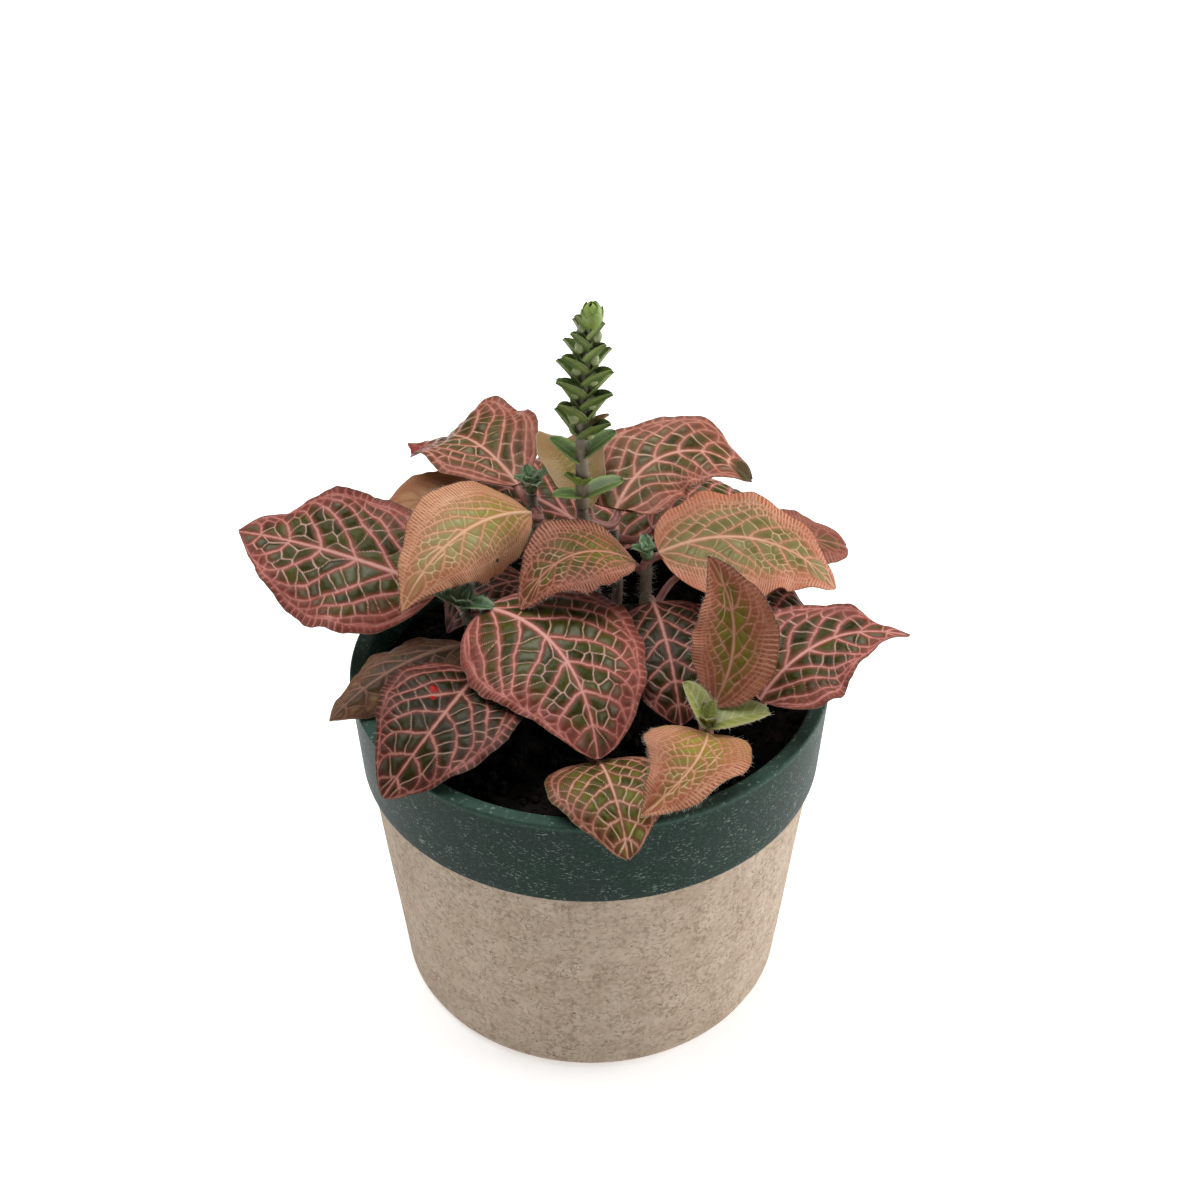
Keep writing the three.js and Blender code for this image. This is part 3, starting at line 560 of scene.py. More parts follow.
# ---- Meshes ----
class Draft:
    """A mesh in the making: points in mm, faces by finish, and marks at each point."""

    def __init__(self, marks: tuple[str, ...] = ()) -> None:
        """Starts an empty mesh.

        Args:
            marks: the names of the triples that each point carries.
        """
        self.points: list[Array] = []
        self.faces: list[list[int]] = []
        self.slots: list[int] = []
        self.marks: dict[str, list[Array]] = {name: [] for name in marks}
        self.count = 0

    def add_points(self, points: Array, **marks: Array) -> int:
        """Adds points.

        Args:
            points: their places, as rows or as a grid.
            marks: the triples that they carry. Those left out are zero.

        Returns:
            The number of the first one.
        """
        flat = points.reshape(-1, 3)
        first = self.count
        self.points.append(flat)
        for name, kept in self.marks.items():
            kept.append(marks[name].reshape(-1, 3) if name in marks else np.zeros_like(flat))
        self.count += len(flat)
        return first

    def add_faces(self, faces: list, slot: int = 0) -> None:
        """Adds faces of one finish, given by their points' numbers."""
        self.faces.extend(faces)
        self.slots.extend([slot] * len(faces))

    def add_grid(
        self, points: Array, slot: int = 0, ring: bool = False, flip: bool = False, **marks: Array
    ) -> Array:
        """Adds a grid of points with its faces.

        Args:
            points: rows of columns of places.
            slot: the finish's number.
            ring: whether the last column joins the first.
            flip: whether the faces look the other way.
            marks: the triples that the points carry.

        Returns:
            The points' numbers, in the same grid.
        """
        rows, columns = points.shape[:2]
        numbers = self.add_points(points, **marks) + np.arange(rows * columns).reshape(rows, columns)
        wide = np.concatenate([numbers, numbers[:, :1]], axis=1) if ring else numbers
        quads = np.stack([wide[:-1, :-1], wide[:-1, 1:], wide[1:, 1:], wide[1:, :-1]], axis=-1)
        quads = quads.reshape(-1, 4)
        self.add_faces((quads[:, ::-1] if flip else quads).tolist(), slot)
        return numbers

    def add_turned(self, rings: Array, slot: int = 0, **marks: Array) -> None:
        """Adds a grid of rings and closes its two ends."""
        numbers = self.add_grid(rings, slot, ring=True, **marks)
        self.add_faces([numbers[0, ::-1].tolist(), numbers[-1].tolist()], slot)

    def add_tube(self, path: Array, radii: Array, sides: int, slot: int = 0) -> None:
        """Adds a closed tube, by its rings' middles and radii and the points in each."""
        self.add_turned(rings_round(path, radii, sides), slot)

    def add_slab(self, upper: Array, lower: Array, slot: int, spot: Array) -> None:
        """Adds a thin closed sheet.

        Args:
            upper: a grid of places on its upper face.
            lower: the same on its under face.
            slot: the finish's number.
            spot: the "spot" marks of both.
        """
        outer = edge_of(self.add_grid(upper, slot, spot=spot))
        inner = edge_of(self.add_grid(lower, slot, flip=True, spot=spot))
        after = [*outer[1:], outer[0]], [*inner[1:], inner[0]]
        self.add_faces([[b, a, c, d] for a, b, c, d in zip(outer, after[0], inner, after[1])], slot)

    def object(self, name: str, materials: list[Material]) -> bpy.types.Object:
        """Makes the Blender object.

        Args:
            name: the object's name.
            materials: the finishes, by their slots' numbers.

        Returns:
            The object, in the scene.
        """
        mesh = bpy.data.meshes.new(name)
        mesh.from_pydata((np.concatenate(self.points) * MM).tolist(), [], self.faces)
        for mark, rows in self.marks.items():
            held = mesh.attributes.new(mark, "FLOAT_VECTOR", "POINT")
            held.data.foreach_set("vector", np.concatenate(rows).astype(np.float32).ravel())
        for material in materials:
            mesh.materials.append(material)
        mesh.polygons.foreach_set("material_index", self.slots)
        mesh.polygons.foreach_set("use_smooth", [True] * len(mesh.polygons))
        return in_scene(name, mesh)


def edge_of(numbers: Array) -> list[int]:
    """The points round a grid's edge, in order."""
    sides = (numbers[:-1, 0], numbers[-1, :-1], numbers[:0:-1, -1], numbers[0, :0:-1])
    return np.concatenate(sides).tolist()


def in_scene(name: str, data: bpy.types.ID) -> bpy.types.Object:
    """Sets an object in the scene.

    Args:
        name: its name.
        data: its mesh, light or camera.

    Returns:
        The object.
    """
    made = bpy.data.objects.new(name, data)
    bpy.context.scene.collection.objects.link(made)
    return made


def unit(vectors: Array) -> Array:
    """The vectors at length 1."""
    return vectors / np.maximum(np.linalg.norm(vectors, axis=-1, keepdims=True), 1e-12)


def smoothstep(x: Array, low: float, high: float) -> Array:
    """A smooth step from 0 at low to 1 at high."""
    share = np.clip((x - low) / (high - low), 0.0, 1.0)
    return share * share * (3.0 - 2.0 * share)


def run_along(along: Array, across: Array) -> Array:
    """How far each point of a flat line is from its start, along the line."""
    return np.concatenate([[0.0], np.cumsum(np.hypot(np.diff(along), np.diff(across)))])


def facing(heading: float) -> Array:
    """The level direction of a heading in degrees, counted from +X towards +Y."""
    turn = math.radians(heading)
    return np.array([math.cos(turn), math.sin(turn), 0.0])


def rings_round(path: Array, radii: Array, sides: int) -> Array:
    """Rings of points round a path, which don't twist.

    Args:
        path: the middle of each ring.
        radii: each ring's radius.
        sides: how many points a ring has.

    Returns:
        The rings, as a grid of places.
    """
    tangents = unit(np.gradient(path, axis=0))
    start = np.cross(tangents[0], UP)
    across = start if np.linalg.norm(start) > 0.1 else np.array([1.0, 0.0, 0.0])
    angles = np.linspace(0.0, 2.0 * np.pi, sides, endpoint=False)
    rings = []
    for place, tangent, radius in zip(path, tangents, radii):
        across = unit(across - tangent * np.dot(across, tangent))
        other = np.cross(tangent, across)
        turn = np.outer(np.cos(angles), across) + np.outer(np.sin(angles), other)
        rings.append(place + radius * turn)
    return np.array(rings)


def curve_through(points: list, steps: int) -> Array:
    """A centripetal Catmull-Rom curve, in even steps.

    Args:
        points: what the curve passes through.
        steps: how many steps it is cut into.

    Returns:
        Places along the curve, one more than its steps.
    """
    through = np.array(points, float)
    ends = (2 * through[0] - through[1], *through, 2 * through[-1] - through[-2])
    fine = 40
    dense = []
    for first, second, third, fourth in zip(ends, ends[1:], ends[2:], ends[3:]):
        knots = np.cumsum([0.0, *(math.dist(a, b) ** 0.5 for a, b in
                                  ((first, second), (second, third), (third, fourth)))])
        at = np.linspace(knots[1], knots[2], fine, endpoint=False)[:, None]

        def blend(low: int, high: int, left: Array, right: Array) -> Array:
            """The point between two others at each knot value."""
            return ((knots[high] - at) * left + (at - knots[low]) * right) / (knots[high] - knots[low])

        one, two, three = blend(0, 1, first, second), blend(1, 2, second, third), blend(2, 3, third, fourth)
        dense.append(blend(1, 2, blend(0, 2, one, two), blend(1, 3, two, three)))
    dense = np.concatenate([*dense, through[-1:]])
    lengths = np.concatenate([[0.0], np.cumsum(np.linalg.norm(np.diff(dense, axis=0), axis=1))])
    wanted = np.linspace(0.0, lengths[-1], steps + 1)
    return np.stack([np.interp(wanted, lengths, dense[:, k]) for k in range(3)], axis=1)


def place_piece(piece: bpy.types.Object, node: str) -> None:
    """Lets a piece stand for a solid, as part of the one body, and reports it.

    Args:
        piece: the finished object.
        node: the solid's name.
    """
    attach(piece, BODY)
    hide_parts(node)
    LOG.info("%s: %d faces", piece.name, len(piece.data.polygons))


# ---- Hairs ----
@dataclass
class Fuzz:
    """Fine curved hairs, each a thin tapered tube."""

    length: Pair = (0.8, 2.0)
    radius: float = 0.045
    lean: float = 0.35
    curl: float = 0.3
    droop: float = 0.35
    taper: float = 0.85
    rings: int = 4

    def grow(self, draft: Draft, roots: Array, outward: Array, slot: int, draw: Random) -> None:
        """Grows a hair from each root.

        Args:
            draft: the mesh that they join.
            roots: where they start.
            outward: the way that each points.
            slot: their finish's number.
            draw: where their lengths and leans come from.
        """
        lean = unit(outward + draw.normal(0.0, self.lean, roots.shape))
        lengths = draw.uniform(*self.length, len(roots))[:, None]
        curl = draw.normal(0.0, self.curl, roots.shape) - UP * self.droop
        for root, way, length, bend in zip(roots, lean, lengths, curl):
            share = np.linspace(0.0, 1.0, self.rings)[:, None]
            path = root + length * (way * share + 0.5 * bend * share**2)
            draft.add_tube(path, self.radius * (1.0 - self.taper * share[:, 0]), 3, slot)


# ---- Pot ----
@dataclass
class Pot:
    """The fibre shell and its rim collar, turned about the upright axis."""

    height: float = 95.0
    foot_radius: float = 50.5
    foot_rounding: float = 4.0
    wall: float = 2.2
    floor_top: float = 4.5
    floor_rounding: float = 3.0
    recess: float = 2.0
    ring: float = 7.0
    pad_radius: float = 14.0
    collar_height: float = 25.5
    collar_top: float = 60.0
    collar_bottom: float = 58.4
    collar_wall: float = 1.0
    lip: float = 2.5
    lip_rounding: float = 0.8
    skirt: float = 15.0
    rebate_drop: float = 2.0
    lean: float = 0.6
    gap: float = 0.3
    holes: int = 5
    hole_radius: float = 3.5
    hole_circle: float = 27.0
    sides: int = 240

    def __post_init__(self) -> None:
        """Works out the sizes that follow from the others."""
        self.collar_foot = self.height - self.collar_height
        self.shell_top = self.height - self.lip - self.gap
        self.rebate_foot = self.height - self.skirt - self.rebate_drop
        self.radius_at_collar = self.collar_bottom - self.collar_wall - self.gap
        self.radius_at_top = self.collar_top - self.collar_wall - 2.0 * self.gap
        self.inner_top = self.radius_at_top - self.collar_wall
        self.skirt_outer = self.inner_top - self.gap
        self.skirt_inner = self.skirt_outer - self.collar_wall
        self.mix_radius = self.skirt_inner - self.lean - self.gap

    def radius_at(self, height: float) -> float:
        """The shell's outer radius at a height."""
        heights = (self.foot_rounding, self.collar_foot, self.shell_top)
        radii = (self.foot_radius, self.radius_at_collar, self.radius_at_top)
        return float(np.interp(height, heights, radii))

    @staticmethod
    def arc(radius: float, height: float, size: float, start: float, end: float, steps: int) -> list:
        """An arc in a profile.

        Args:
            radius: the radius where its middle is.
            height: its middle's height.
            size: its own radius.
            start: the angle that it starts at, in degrees.
            end: the angle that it ends at.
            steps: how many steps it is cut into.

        Returns:
            Its points.
        """
        turns = np.radians(np.linspace(start, end, steps + 1))
        return [(radius + size * math.cos(turn), height + size * math.sin(turn)) for turn in turns]

    @staticmethod
    def stepped(profile: list, step: float) -> Array:
        """A profile with its long straight runs cut up.

        Args:
            profile: the profile's points.
            step: about how long a step is.

        Returns:
            The points with those between them.
        """
        points = [profile[0]]
        for before, after in zip(profile, profile[1:]):
            cuts = max(1, round(math.dist(before, after) / step))
            points += [tuple(np.array(before) + (np.array(after) - before) * k / cuts)
                       for k in range(1, cuts + 1)]
        return np.array(points)

    def turned(self, profile: Array, waver: Callable | None = None) -> Draft:
        """A closed turned mesh.

        Args:
            profile: radius and height of each point, from the axis to the axis or round to its start.
            waver: gives how far a point stands out from its radius, from its place.

        Returns:
            The mesh, with the radius and height of each point in its "spot" marks.
        """
        draft = Draft(("spot",))
        open_ends = profile[0][0] < 1e-6
        body = profile[1:-1] if open_ends else profile[:-1]
        angles = np.linspace(0.0, 2.0 * np.pi, self.sides, endpoint=False)
        radius = np.repeat(body[:, :1], self.sides, axis=1)
        height = np.repeat(body[:, 1:], self.sides, axis=1)
        if waver is not None:
            radius = radius + waver(radius, height, angles)
        grid = np.stack([radius * np.cos(angles), radius * np.sin(angles), height], axis=-1)
        spot = np.stack([radius, height, np.zeros_like(radius)], axis=-1)
        if open_ends:
            draft.add_turned(grid, spot=spot)
        else:
            numbers = draft.add_grid(grid, ring=True, spot=spot)
            first, last = numbers[0].tolist(), numbers[-1].tolist()
            ends = zip(last, [*last[1:], last[0]], [*first[1:], first[0]], first)
            draft.add_faces([list(face) for face in ends])
        return draft

    def uneven(self, radius: Array, height: Array, angles: Array) -> Array:
        """The slight unevenness of pressed fibre on the outside wall.

        Args:
            radius: the points' radii.
            height: their heights.
            angles: their angles round the axis.

        Returns:
            How far each stands out from its radius.
        """
        wave = 0.10 * np.sin(3 * angles + height / 31.0) + 0.06 * np.sin(11 * angles - height / 9.0)
        wave += 0.035 * np.sin(29 * angles + height / 3.1) * np.sin(height / 2.3 + 5 * angles)
        outside = (radius > self.foot_radius - 1.0) & (height > 1.0) & (height < self.collar_foot + 1.0)
        return np.where(outside, wave - 0.15, 0.0)

    def shell(self, material: Material) -> bpy.types.Object:
        """The fibre shell, with its drain holes cut.

        Args:
            material: its finish.

        Returns:
            Its object.
        """
        inside = self.foot_radius - self.foot_rounding - self.ring
        floor_wall = self.radius_at(self.floor_top) - self.wall
        outer = [
            (0.0, 0.0), (self.pad_radius, 0.0), (self.pad_radius + 1.0, self.recess),
            (inside - 1.0, self.recess), (inside, 0.0),
            *self.arc(self.foot_radius - self.foot_rounding, self.foot_rounding,
                      self.foot_rounding, -90, 0, 10),
            (self.radius_at_collar, self.collar_foot), (self.radius_at_top, self.shell_top),
        ]
        inner = [
            (self.inner_top, self.shell_top),
            (self.radius_at(self.rebate_foot) - self.collar_wall, self.rebate_foot),
            (self.radius_at(self.rebate_foot - 1.0) - self.wall, self.rebate_foot - 1.0),
            (floor_wall, self.floor_top + self.floor_rounding),
            *self.arc(floor_wall - self.floor_rounding, self.floor_top + self.floor_rounding,
                      self.floor_rounding, 0, -90, 6)[1:],
            (0.0, self.floor_top),
        ]
        draft = self.turned(self.stepped(outer + inner, 1.6), self.uneven)
        shell = draft.object("pot_shell_fibre", [material])
        drill = Draft()
        for k in range(self.holes):
            turn = 2.0 * math.pi * k / self.holes + math.pi / 2.0
            middle = np.array([self.hole_circle * math.cos(turn), self.hole_circle * math.sin(turn), 0.0])
            path = middle + np.outer((-4.0, self.floor_top + 6.0), UP)
            drill.add_tube(path, np.full(2, self.hole_radius), 32)
        cutter = drill.object("drill", [material])
        cut = shell.modifiers.new("drain holes", "BOOLEAN")
        cut.object, cut.operation, cut.solver = cutter, "DIFFERENCE", "EXACT"
        bpy.context.view_layer.update()
        cut_mesh = bpy.data.meshes.new_from_object(shell.evaluated_get(bpy.context.evaluated_depsgraph_get()))
        shell.modifiers.clear()
        shell.data = cut_mesh
        bpy.data.objects.remove(cutter)
        return shell

    def collar(self, material: Material) -> bpy.types.Object:
        """The rim collar: outer band, rounded lip and inner skirt.

        Args:
            material: its finish.

        Returns:
            Its object.
        """
        under = self.height - self.lip
        top = self.height - self.lip_rounding
        profile = [
            (self.collar_bottom - self.collar_wall, self.collar_foot),
            *self.arc(self.collar_bottom - 0.25, self.collar_foot + 0.25, 0.25, -90, 0, 3),
            *self.arc(self.collar_top - self.lip_rounding, top, self.lip_rounding, 0, 90, 8),
            *self.arc(self.skirt_inner + self.lip_rounding, top, self.lip_rounding, 90, 180, 8),
            (self.skirt_inner - self.lean, self.height - self.skirt),
            (self.skirt_outer - self.lean, self.height - self.skirt),
            (self.skirt_outer, under), (self.collar_top - self.collar_wall, under),
            (self.collar_bottom - self.collar_wall, self.collar_foot),
        ]
        return self.turned(self.stepped(profile, 2.0)).object("rim_collar_band", [material])

    def build(self) -> None:
        """Makes both pieces and sets them in place of their solids."""
        place_piece(self.shell(FibreFinish().material()), "pot_shell")
        place_piece(self.collar(CollarFinish(top=self.height).material()), "rim_collar")


# ---- Potting mix ----
@dataclass
class PottingMix:
    """The heaped, crumbly potting mix."""

    pot: Pot
    level: float = 84.0
    heap: float = 3.0
    lump: float = 1.1
    crumbs: int = 900
    crumb_radius: Pair = (0.5, 2.0)
    squash: Pair = (0.75, 1.2)  # a crumb's sides, as shares of its radius
    knobs: Pair = (0.8, 1.15)  # how far its points stand out, likewise
    clods: tuple = ((0.5, (1.9, 2.3), (0.3, 1.1)), (0.32, (1.5, 1.2), (2.0, 0.4)))  # size, turns, phases
    seed: int = 11

    def height_at(self, x: Array | float, y: Array | float) -> Array:
        """The height of the mix's top.

        Args:
            x: places along X.
            y: places along Y.

        Returns:
            The heights there.
        """
        inwards = 1.0 - np.minimum(1.0, np.hypot(x, y) / self.pot.mix_radius) ** 2
        lumps = np.sin(0.31 * x + 1.3) * np.cos(0.27 * y) + 0.6 * np.sin(0.53 * y + 0.41 * x)
        return self.level + self.heap * inwards + self.lump * lumps * np.minimum(1.0, 4.0 * inwards)

    def build(self) -> None:
        """Makes the mix: a turned body whose top follows the heap, with crumbs over it."""
        pot = self.pot
        floor = pot.floor_top + pot.gap
        foot = pot.radius_at(pot.floor_top) - pot.wall - pot.gap
        shoulder = pot.rebate_foot - 2.0
        body = [
            (0.0, floor), (foot - pot.floor_rounding, floor), (foot, floor + pot.floor_rounding),
            (pot.radius_at(shoulder) - pot.wall - pot.gap, shoulder),
            (pot.mix_radius, pot.height - pot.skirt), (pot.mix_radius, self.level),
        ]
        rings = [(pot.mix_radius * k / 90.0, self.level + 1e-3) for k in range(89, -1, -1)]
        draft = pot.turned(np.concatenate([pot.stepped(body, 4.0), rings]))
        points = draft.points[0]
        draw = np.random.default_rng(self.seed)
        top = points[:, 2] > self.level
        x, y = points[top, 0], points[top, 1]
        rough = sum(
            size * np.sin(x / size * turn[0] + phase[0]) * np.sin(y / size * turn[1] + phase[1])
            for size, turn, phase in self.clods
        )
        points[top, 2] = self.height_at(x, y) + 0.8 * rough - 0.2 + draw.normal(0.0, 0.12, len(x))
        self.add_crumbs(draft, draw)
        place_piece(draft.object("potting_mix_heap", [MixFinish().material()]), "potting_mix")

    def add_crumbs(self, draft: Draft, draw: Random) -> None:
        """Scatters crumbs, half sunk, over the top.

        Args:
            draft: the mesh that they join.
            draw: where their places and shapes come from.
        """
        turns, rises = np.meshgrid(np.linspace(0.0, 2.0 * np.pi, 8, endpoint=False),
                                   np.radians([-60.0, -20.0, 20.0, 60.0]))
        ball = np.stack([np.cos(rises) * np.cos(turns), np.cos(rises) * np.sin(turns), np.sin(rises)], -1)
        for _ in range(self.crumbs):
            radius = self.crumb_radius[0] + np.ptp(self.crumb_radius) * draw.random() ** 3
            reach = (self.pot.mix_radius - 1.6 * radius) * math.sqrt(draw.random())
            turn = draw.uniform(0.0, 2.0 * math.pi)
            x, y = reach * math.cos(turn), reach * math.sin(turn)
            shape = ball * draw.uniform(*self.squash, 3)
            shape = shape * (radius * draw.uniform(*self.knobs, (*ball.shape[:2], 1)))
            middle = np.array([x, y, float(self.height_at(x, y)) + 0.25 * radius])
            draft.add_turned(shape + middle)


# ---- Stems ----
@dataclass
class Stem:
    """A stem from the mix to its last pair of leaves."""

    name: str
    foot: Pair
    top: Place
    radius: float
    bow: float
    rooting: float = 8.0
    taper: float = 0.8
    sides: int = 16
    rings: int = 56
    hairs_per_mm: float = 6.0
    swelling: float = 0.22  # how much thicker a node is
    swelling_reach: float = 0.025
    nodes: list[float] = field(default_factory=list)

    def path(self, mix: PottingMix, steps: int) -> Array:
        """The stem's middle line.

        Args:
            mix: what it stands in.
            steps: how many even steps it is cut into.

        Returns:
            Places along it, one more than its steps.
        """
        x, y = self.foot
        base = np.array([x, y, float(mix.height_at(x, y)) - self.rooting])
        end = np.array(self.top)
        middle = (base + end) / 2.0 + np.array([self.bow, -self.bow, 0.0])
        return curve_through([base, middle, end], steps)

    def build(self, mix: PottingMix, finishes: list[Material], seed: int) -> None:
        """Makes the stem, swollen at its nodes and grown over with hairs.

        Args:
            mix: what it stands in.
            finishes: the stem's own and the hairs'.
            seed: of its hairs.
        """
        draw = np.random.default_rng(seed)
        path = self.path(mix, self.rings)
        share = np.linspace(0.0, 1.0, self.rings + 1)
        reach = self.swelling_reach
        swollen = sum(self.swelling * np.exp(-(((share - node) / reach) ** 2)) for node in self.nodes)
        radii = self.radius * (1.0 + (self.taper - 1.0) * share) * (1.0 + swollen)
        draft = Draft()
        draft.add_tube(path, radii, self.sides, 0)
        length = float(np.linalg.norm(np.diff(path, axis=0), axis=1).sum())
        wanted = draw.integers(self.rings // 6, self.rings, int(self.hairs_per_mm * length))
        rings = rings_round(path, radii, self.sides)
        columns = draw.integers(0, self.sides, len(wanted))
        roots = rings[wanted, columns]
        Fuzz().grow(draft, roots, unit(roots - path[wanted]), 1, draw)
        place_piece(draft.object(f"{self.name}_skin", finishes), self.name)


# ---- Leaves ----
HOOK_START = 0.7  # the share of the length from which a tip hooks down
VEIN_SWEEP = 0.2  # how far the rows of a blade's points lean ahead
VEIN_BEND = 1.35
SWEEP_START = 0.22
OTHER_HAND = 0.37  # how far the right hand's ripple is ahead of the left's
FAR = 9.0  # mm, further off than any vein
YOUNG_ROOTS = (-0.7, -0.3, -0.05, 0.13, 0.3, 0.46, 0.62, 0.78)


@dataclass(frozen=True)
class VeinPlan:
    """How a blade is veined. Roots are shares of its length, and those below 0 start at its base."""

    roots: tuple[float, ...] = (-0.75, -0.30, 0.02, 0.20, 0.38, 0.55, 0.71, 0.86)
    reach: float = 0.6  # share of the length ahead by which a side vein runs on
    bow: float = 1.45  # how much it bends on its way
    margin: float = 0.87  # share of the half width where the side veins join
    cell: float = 4.5  # mm from cell to cell beside the midrib
    outer_cell: float = 2.9  # the same out at the margin
    comb: float = 1.8  # mm between the short veins along the margin
    midrib: float = 0.62  # half the width of the midrib, the side veins and the thin veins
    side: float = 0.28
    link: float = 0.10
    puff: float = 0.42  # mm that a cell swells
    wander: float = 0.30  # mm that the veins stray


class Veins(Enum):
    """How far a blade's veins have drawn apart: a young one's are close and fine."""

    OPEN = VeinPlan()
    HALF = VeinPlan(
        roots=YOUNG_ROOTS, margin=0.74, cell=3.6, outer_cell=1.6, comb=0.95, side=0.20, link=0.09,
        puff=0.38,
    )
    CLOSE = VeinPlan(
        roots=YOUNG_ROOTS, margin=0.66, cell=3.4, outer_cell=1.0, comb=0.72, midrib=0.48, side=0.16,
        link=0.08, puff=0.24,
    )


@dataclass
class VeinNet:
    """One hand's net of veins, laid out on the blade as if it were flat: mm along and across."""

    plan: VeinPlan
    length: float
    half: float
    width: Callable
    draw: Random

    def __post_init__(self) -> None:
        """Lays out the cells between the side veins and along the margin, finer on a small blade."""
        self.phases = self.draw.uniform(0.0, 2.0 * np.pi, 6)
        fine = min(1.0, self.length / 45.0)
        whole = self.plan
        plan = replace(whole, midrib=whole.midrib * fine, side=whole.side * fine, cell=whole.cell * fine)
        self.plan = plan
        edges = [-plan.reach / (1.0 - plan.reach), *plan.roots, 1.0]
        self.edges = np.array(edges)
        self.cells: list[Array] = [self.strip(low, high) for low, high in zip(edges, edges[1:])]
        self.cells.append(self.hem())
        self.tints = [self.draw.random(len(cells)) for cells in self.cells]

    def flat(self, x: Array, t: Array) -> tuple[Array, Array]:
        """Where a share along and a share across lie, in mm."""
        return x * self.length, t * self.half * self.width(x)

    def root_of(self, along: Array, across: Array) -> Array:
        """Where the side vein through a place starts.

        Args:
            along: mm along the midrib.
            across: mm across.

        Returns:
            The vein's root, as a share of the midrib.
        """
        x = along / self.length
        t = across / np.maximum(self.half * self.width(x), 1e-6)
        inner = np.clip(1.0 - t / self.plan.margin, 0.0, 1.0)
        ahead = self.plan.reach * (1.0 - inner ** (1.0 / self.plan.bow))
        return (x - ahead) / (1.0 - ahead)

    def slope(self, along: Array, across: Array) -> Array:
        """How fast the root's share changes.

        Args:
            along: mm along the midrib.
            across: mm across.

        Returns:
            The change in 1/mm.
        """
        step = 0.05
        here = self.root_of(along, across)
        ahead = self.root_of(along + step, across) - here
        aside = self.root_of(along, across - step) - here
        return np.maximum(np.hypot(ahead, aside) / step, 1e-4)

    def strip(self, low: float, high: float) -> Array:
        """The cells between two side veins.

        Args:
            low: the first vein's root.
            high: the second's.

        Returns:
            The cells' middles in mm.
        """
        plan = self.plan
        share = np.linspace(0.0, 1.0, 120)
        middle = (low + high) / 2.0
        x = middle + share * plan.reach * (1.0 - middle)
        t = plan.margin * (1.0 - (1.0 - share) ** plan.bow)
        shown = x > 0.01
        if shown.sum() < 3:
            return np.zeros((0, 2))
        along, across = self.flat(x[shown], t[shown])
        run = run_along(along, across)
        wide = (high - low) / self.slope(along, across)
        cells = []
        place = plan.cell * self.draw.uniform(0.35, 0.55)
        while place < run[-1]:
            k = int(np.searchsorted(run, place))
            size = plan.cell + (plan.outer_cell - plan.cell) * float(t[shown][k]) / plan.margin
            size *= 1.0 - 0.3 * float(x[shown][k])
            rows = int(np.clip(round(wide[k] / (1.25 * size)), 1, 3))
            way = np.array([along[min(k + 1, len(run) - 1)] - along[k - 1],
                            across[min(k + 1, len(run) - 1)] - across[k - 1]])
            way /= np.linalg.norm(way) + 1e-9
            beside = np.array([-way[1], way[0]])
            for row in range(rows):
                off = (row - (rows - 1) / 2.0) * wide[k] * 0.95 / rows
                stagger = (row - (rows - 1) / 2.0) * size * 0.7
                jitter = self.draw.normal(0.0, 0.15 * size, 2)
                cells.append(np.array([along[k], across[k]]) + beside * off + way * stagger + jitter)
            place += size * self.draw.uniform(0.85, 1.2)
        return np.array(cells).reshape(-1, 2)

    def hem(self) -> Array:
        """The narrow cells along the margin, as their middles in mm."""
        x = np.linspace(0.003, 0.985, 400)
        along, across = self.flat(x, np.full_like(x, (1.0 + self.plan.margin) / 2.0))
        run = run_along(along, across)
        stations = np.arange(self.plan.comb / 2.0, run[-1], self.plan.comb)
        stations = stations + self.draw.normal(0.0, 0.12 * self.plan.comb, len(stations))
        return np.stack([np.interp(stations, run, along), np.interp(stations, run, across)], axis=1)

    def measure(self, x: Array, t: Array) -> tuple[Array, Array, Array]:
        """How far places are from the veins.

        Args:
            x: shares along the midrib.
            t: shares across, from the midrib to the margin.

        Returns:
            The distance to the nearest main vein's edge and to the nearest thin vein's edge, in mm
            and below 0 inside the vein, and a draw from 0 to 1 for the cell.
        """
        plan = self.plan
        along, across = self.flat(x, t)
        one, two, three, four, five, six = self.phases
        # The places stray a little, so that no vein runs straight.
        shy = np.minimum(1.0, across / 2.0) * plan.wander
        wide = along + shy * (np.sin(across * 0.7 + one) + 0.3 * np.sin(across * 1.9 + along * 0.7 + two))
        deep = across + shy * (np.sin(along * 0.6 + three) + 0.3 * np.sin(along * 1.7 - across + four))
        deep = np.maximum(deep, 0.0)
        root = self.root_of(wide, deep)
        strip = np.clip(np.searchsorted(self.edges, root.ravel()).reshape(root.shape) - 1, 0,
                        len(self.edges) - 2)
        hemmed = t > plan.margin
        strip = np.where(hemmed, len(self.cells) - 1, strip)
        slope = self.slope(wide, deep)
        # The main veins: the midrib, the side veins and the seam that joins their ends.
        main = across - plan.midrib * (1.0 - 0.75 * x)
        outward = np.clip(t / plan.margin, 0.0, 1.0)
        thin = plan.side * (1.0 - 0.5 * outward) * (1.0 + 0.15 * np.sin(along * 0.5 + five))
        for start in plan.roots:
            beyond = np.where(hemmed, FAR, np.abs(root - start) / slope - thin)
            main = np.minimum(main, beyond)
        half = self.half * self.width(x)
        seam = np.abs(t - plan.margin) * half - plan.side * 0.55
        main = np.minimum(main, seam)
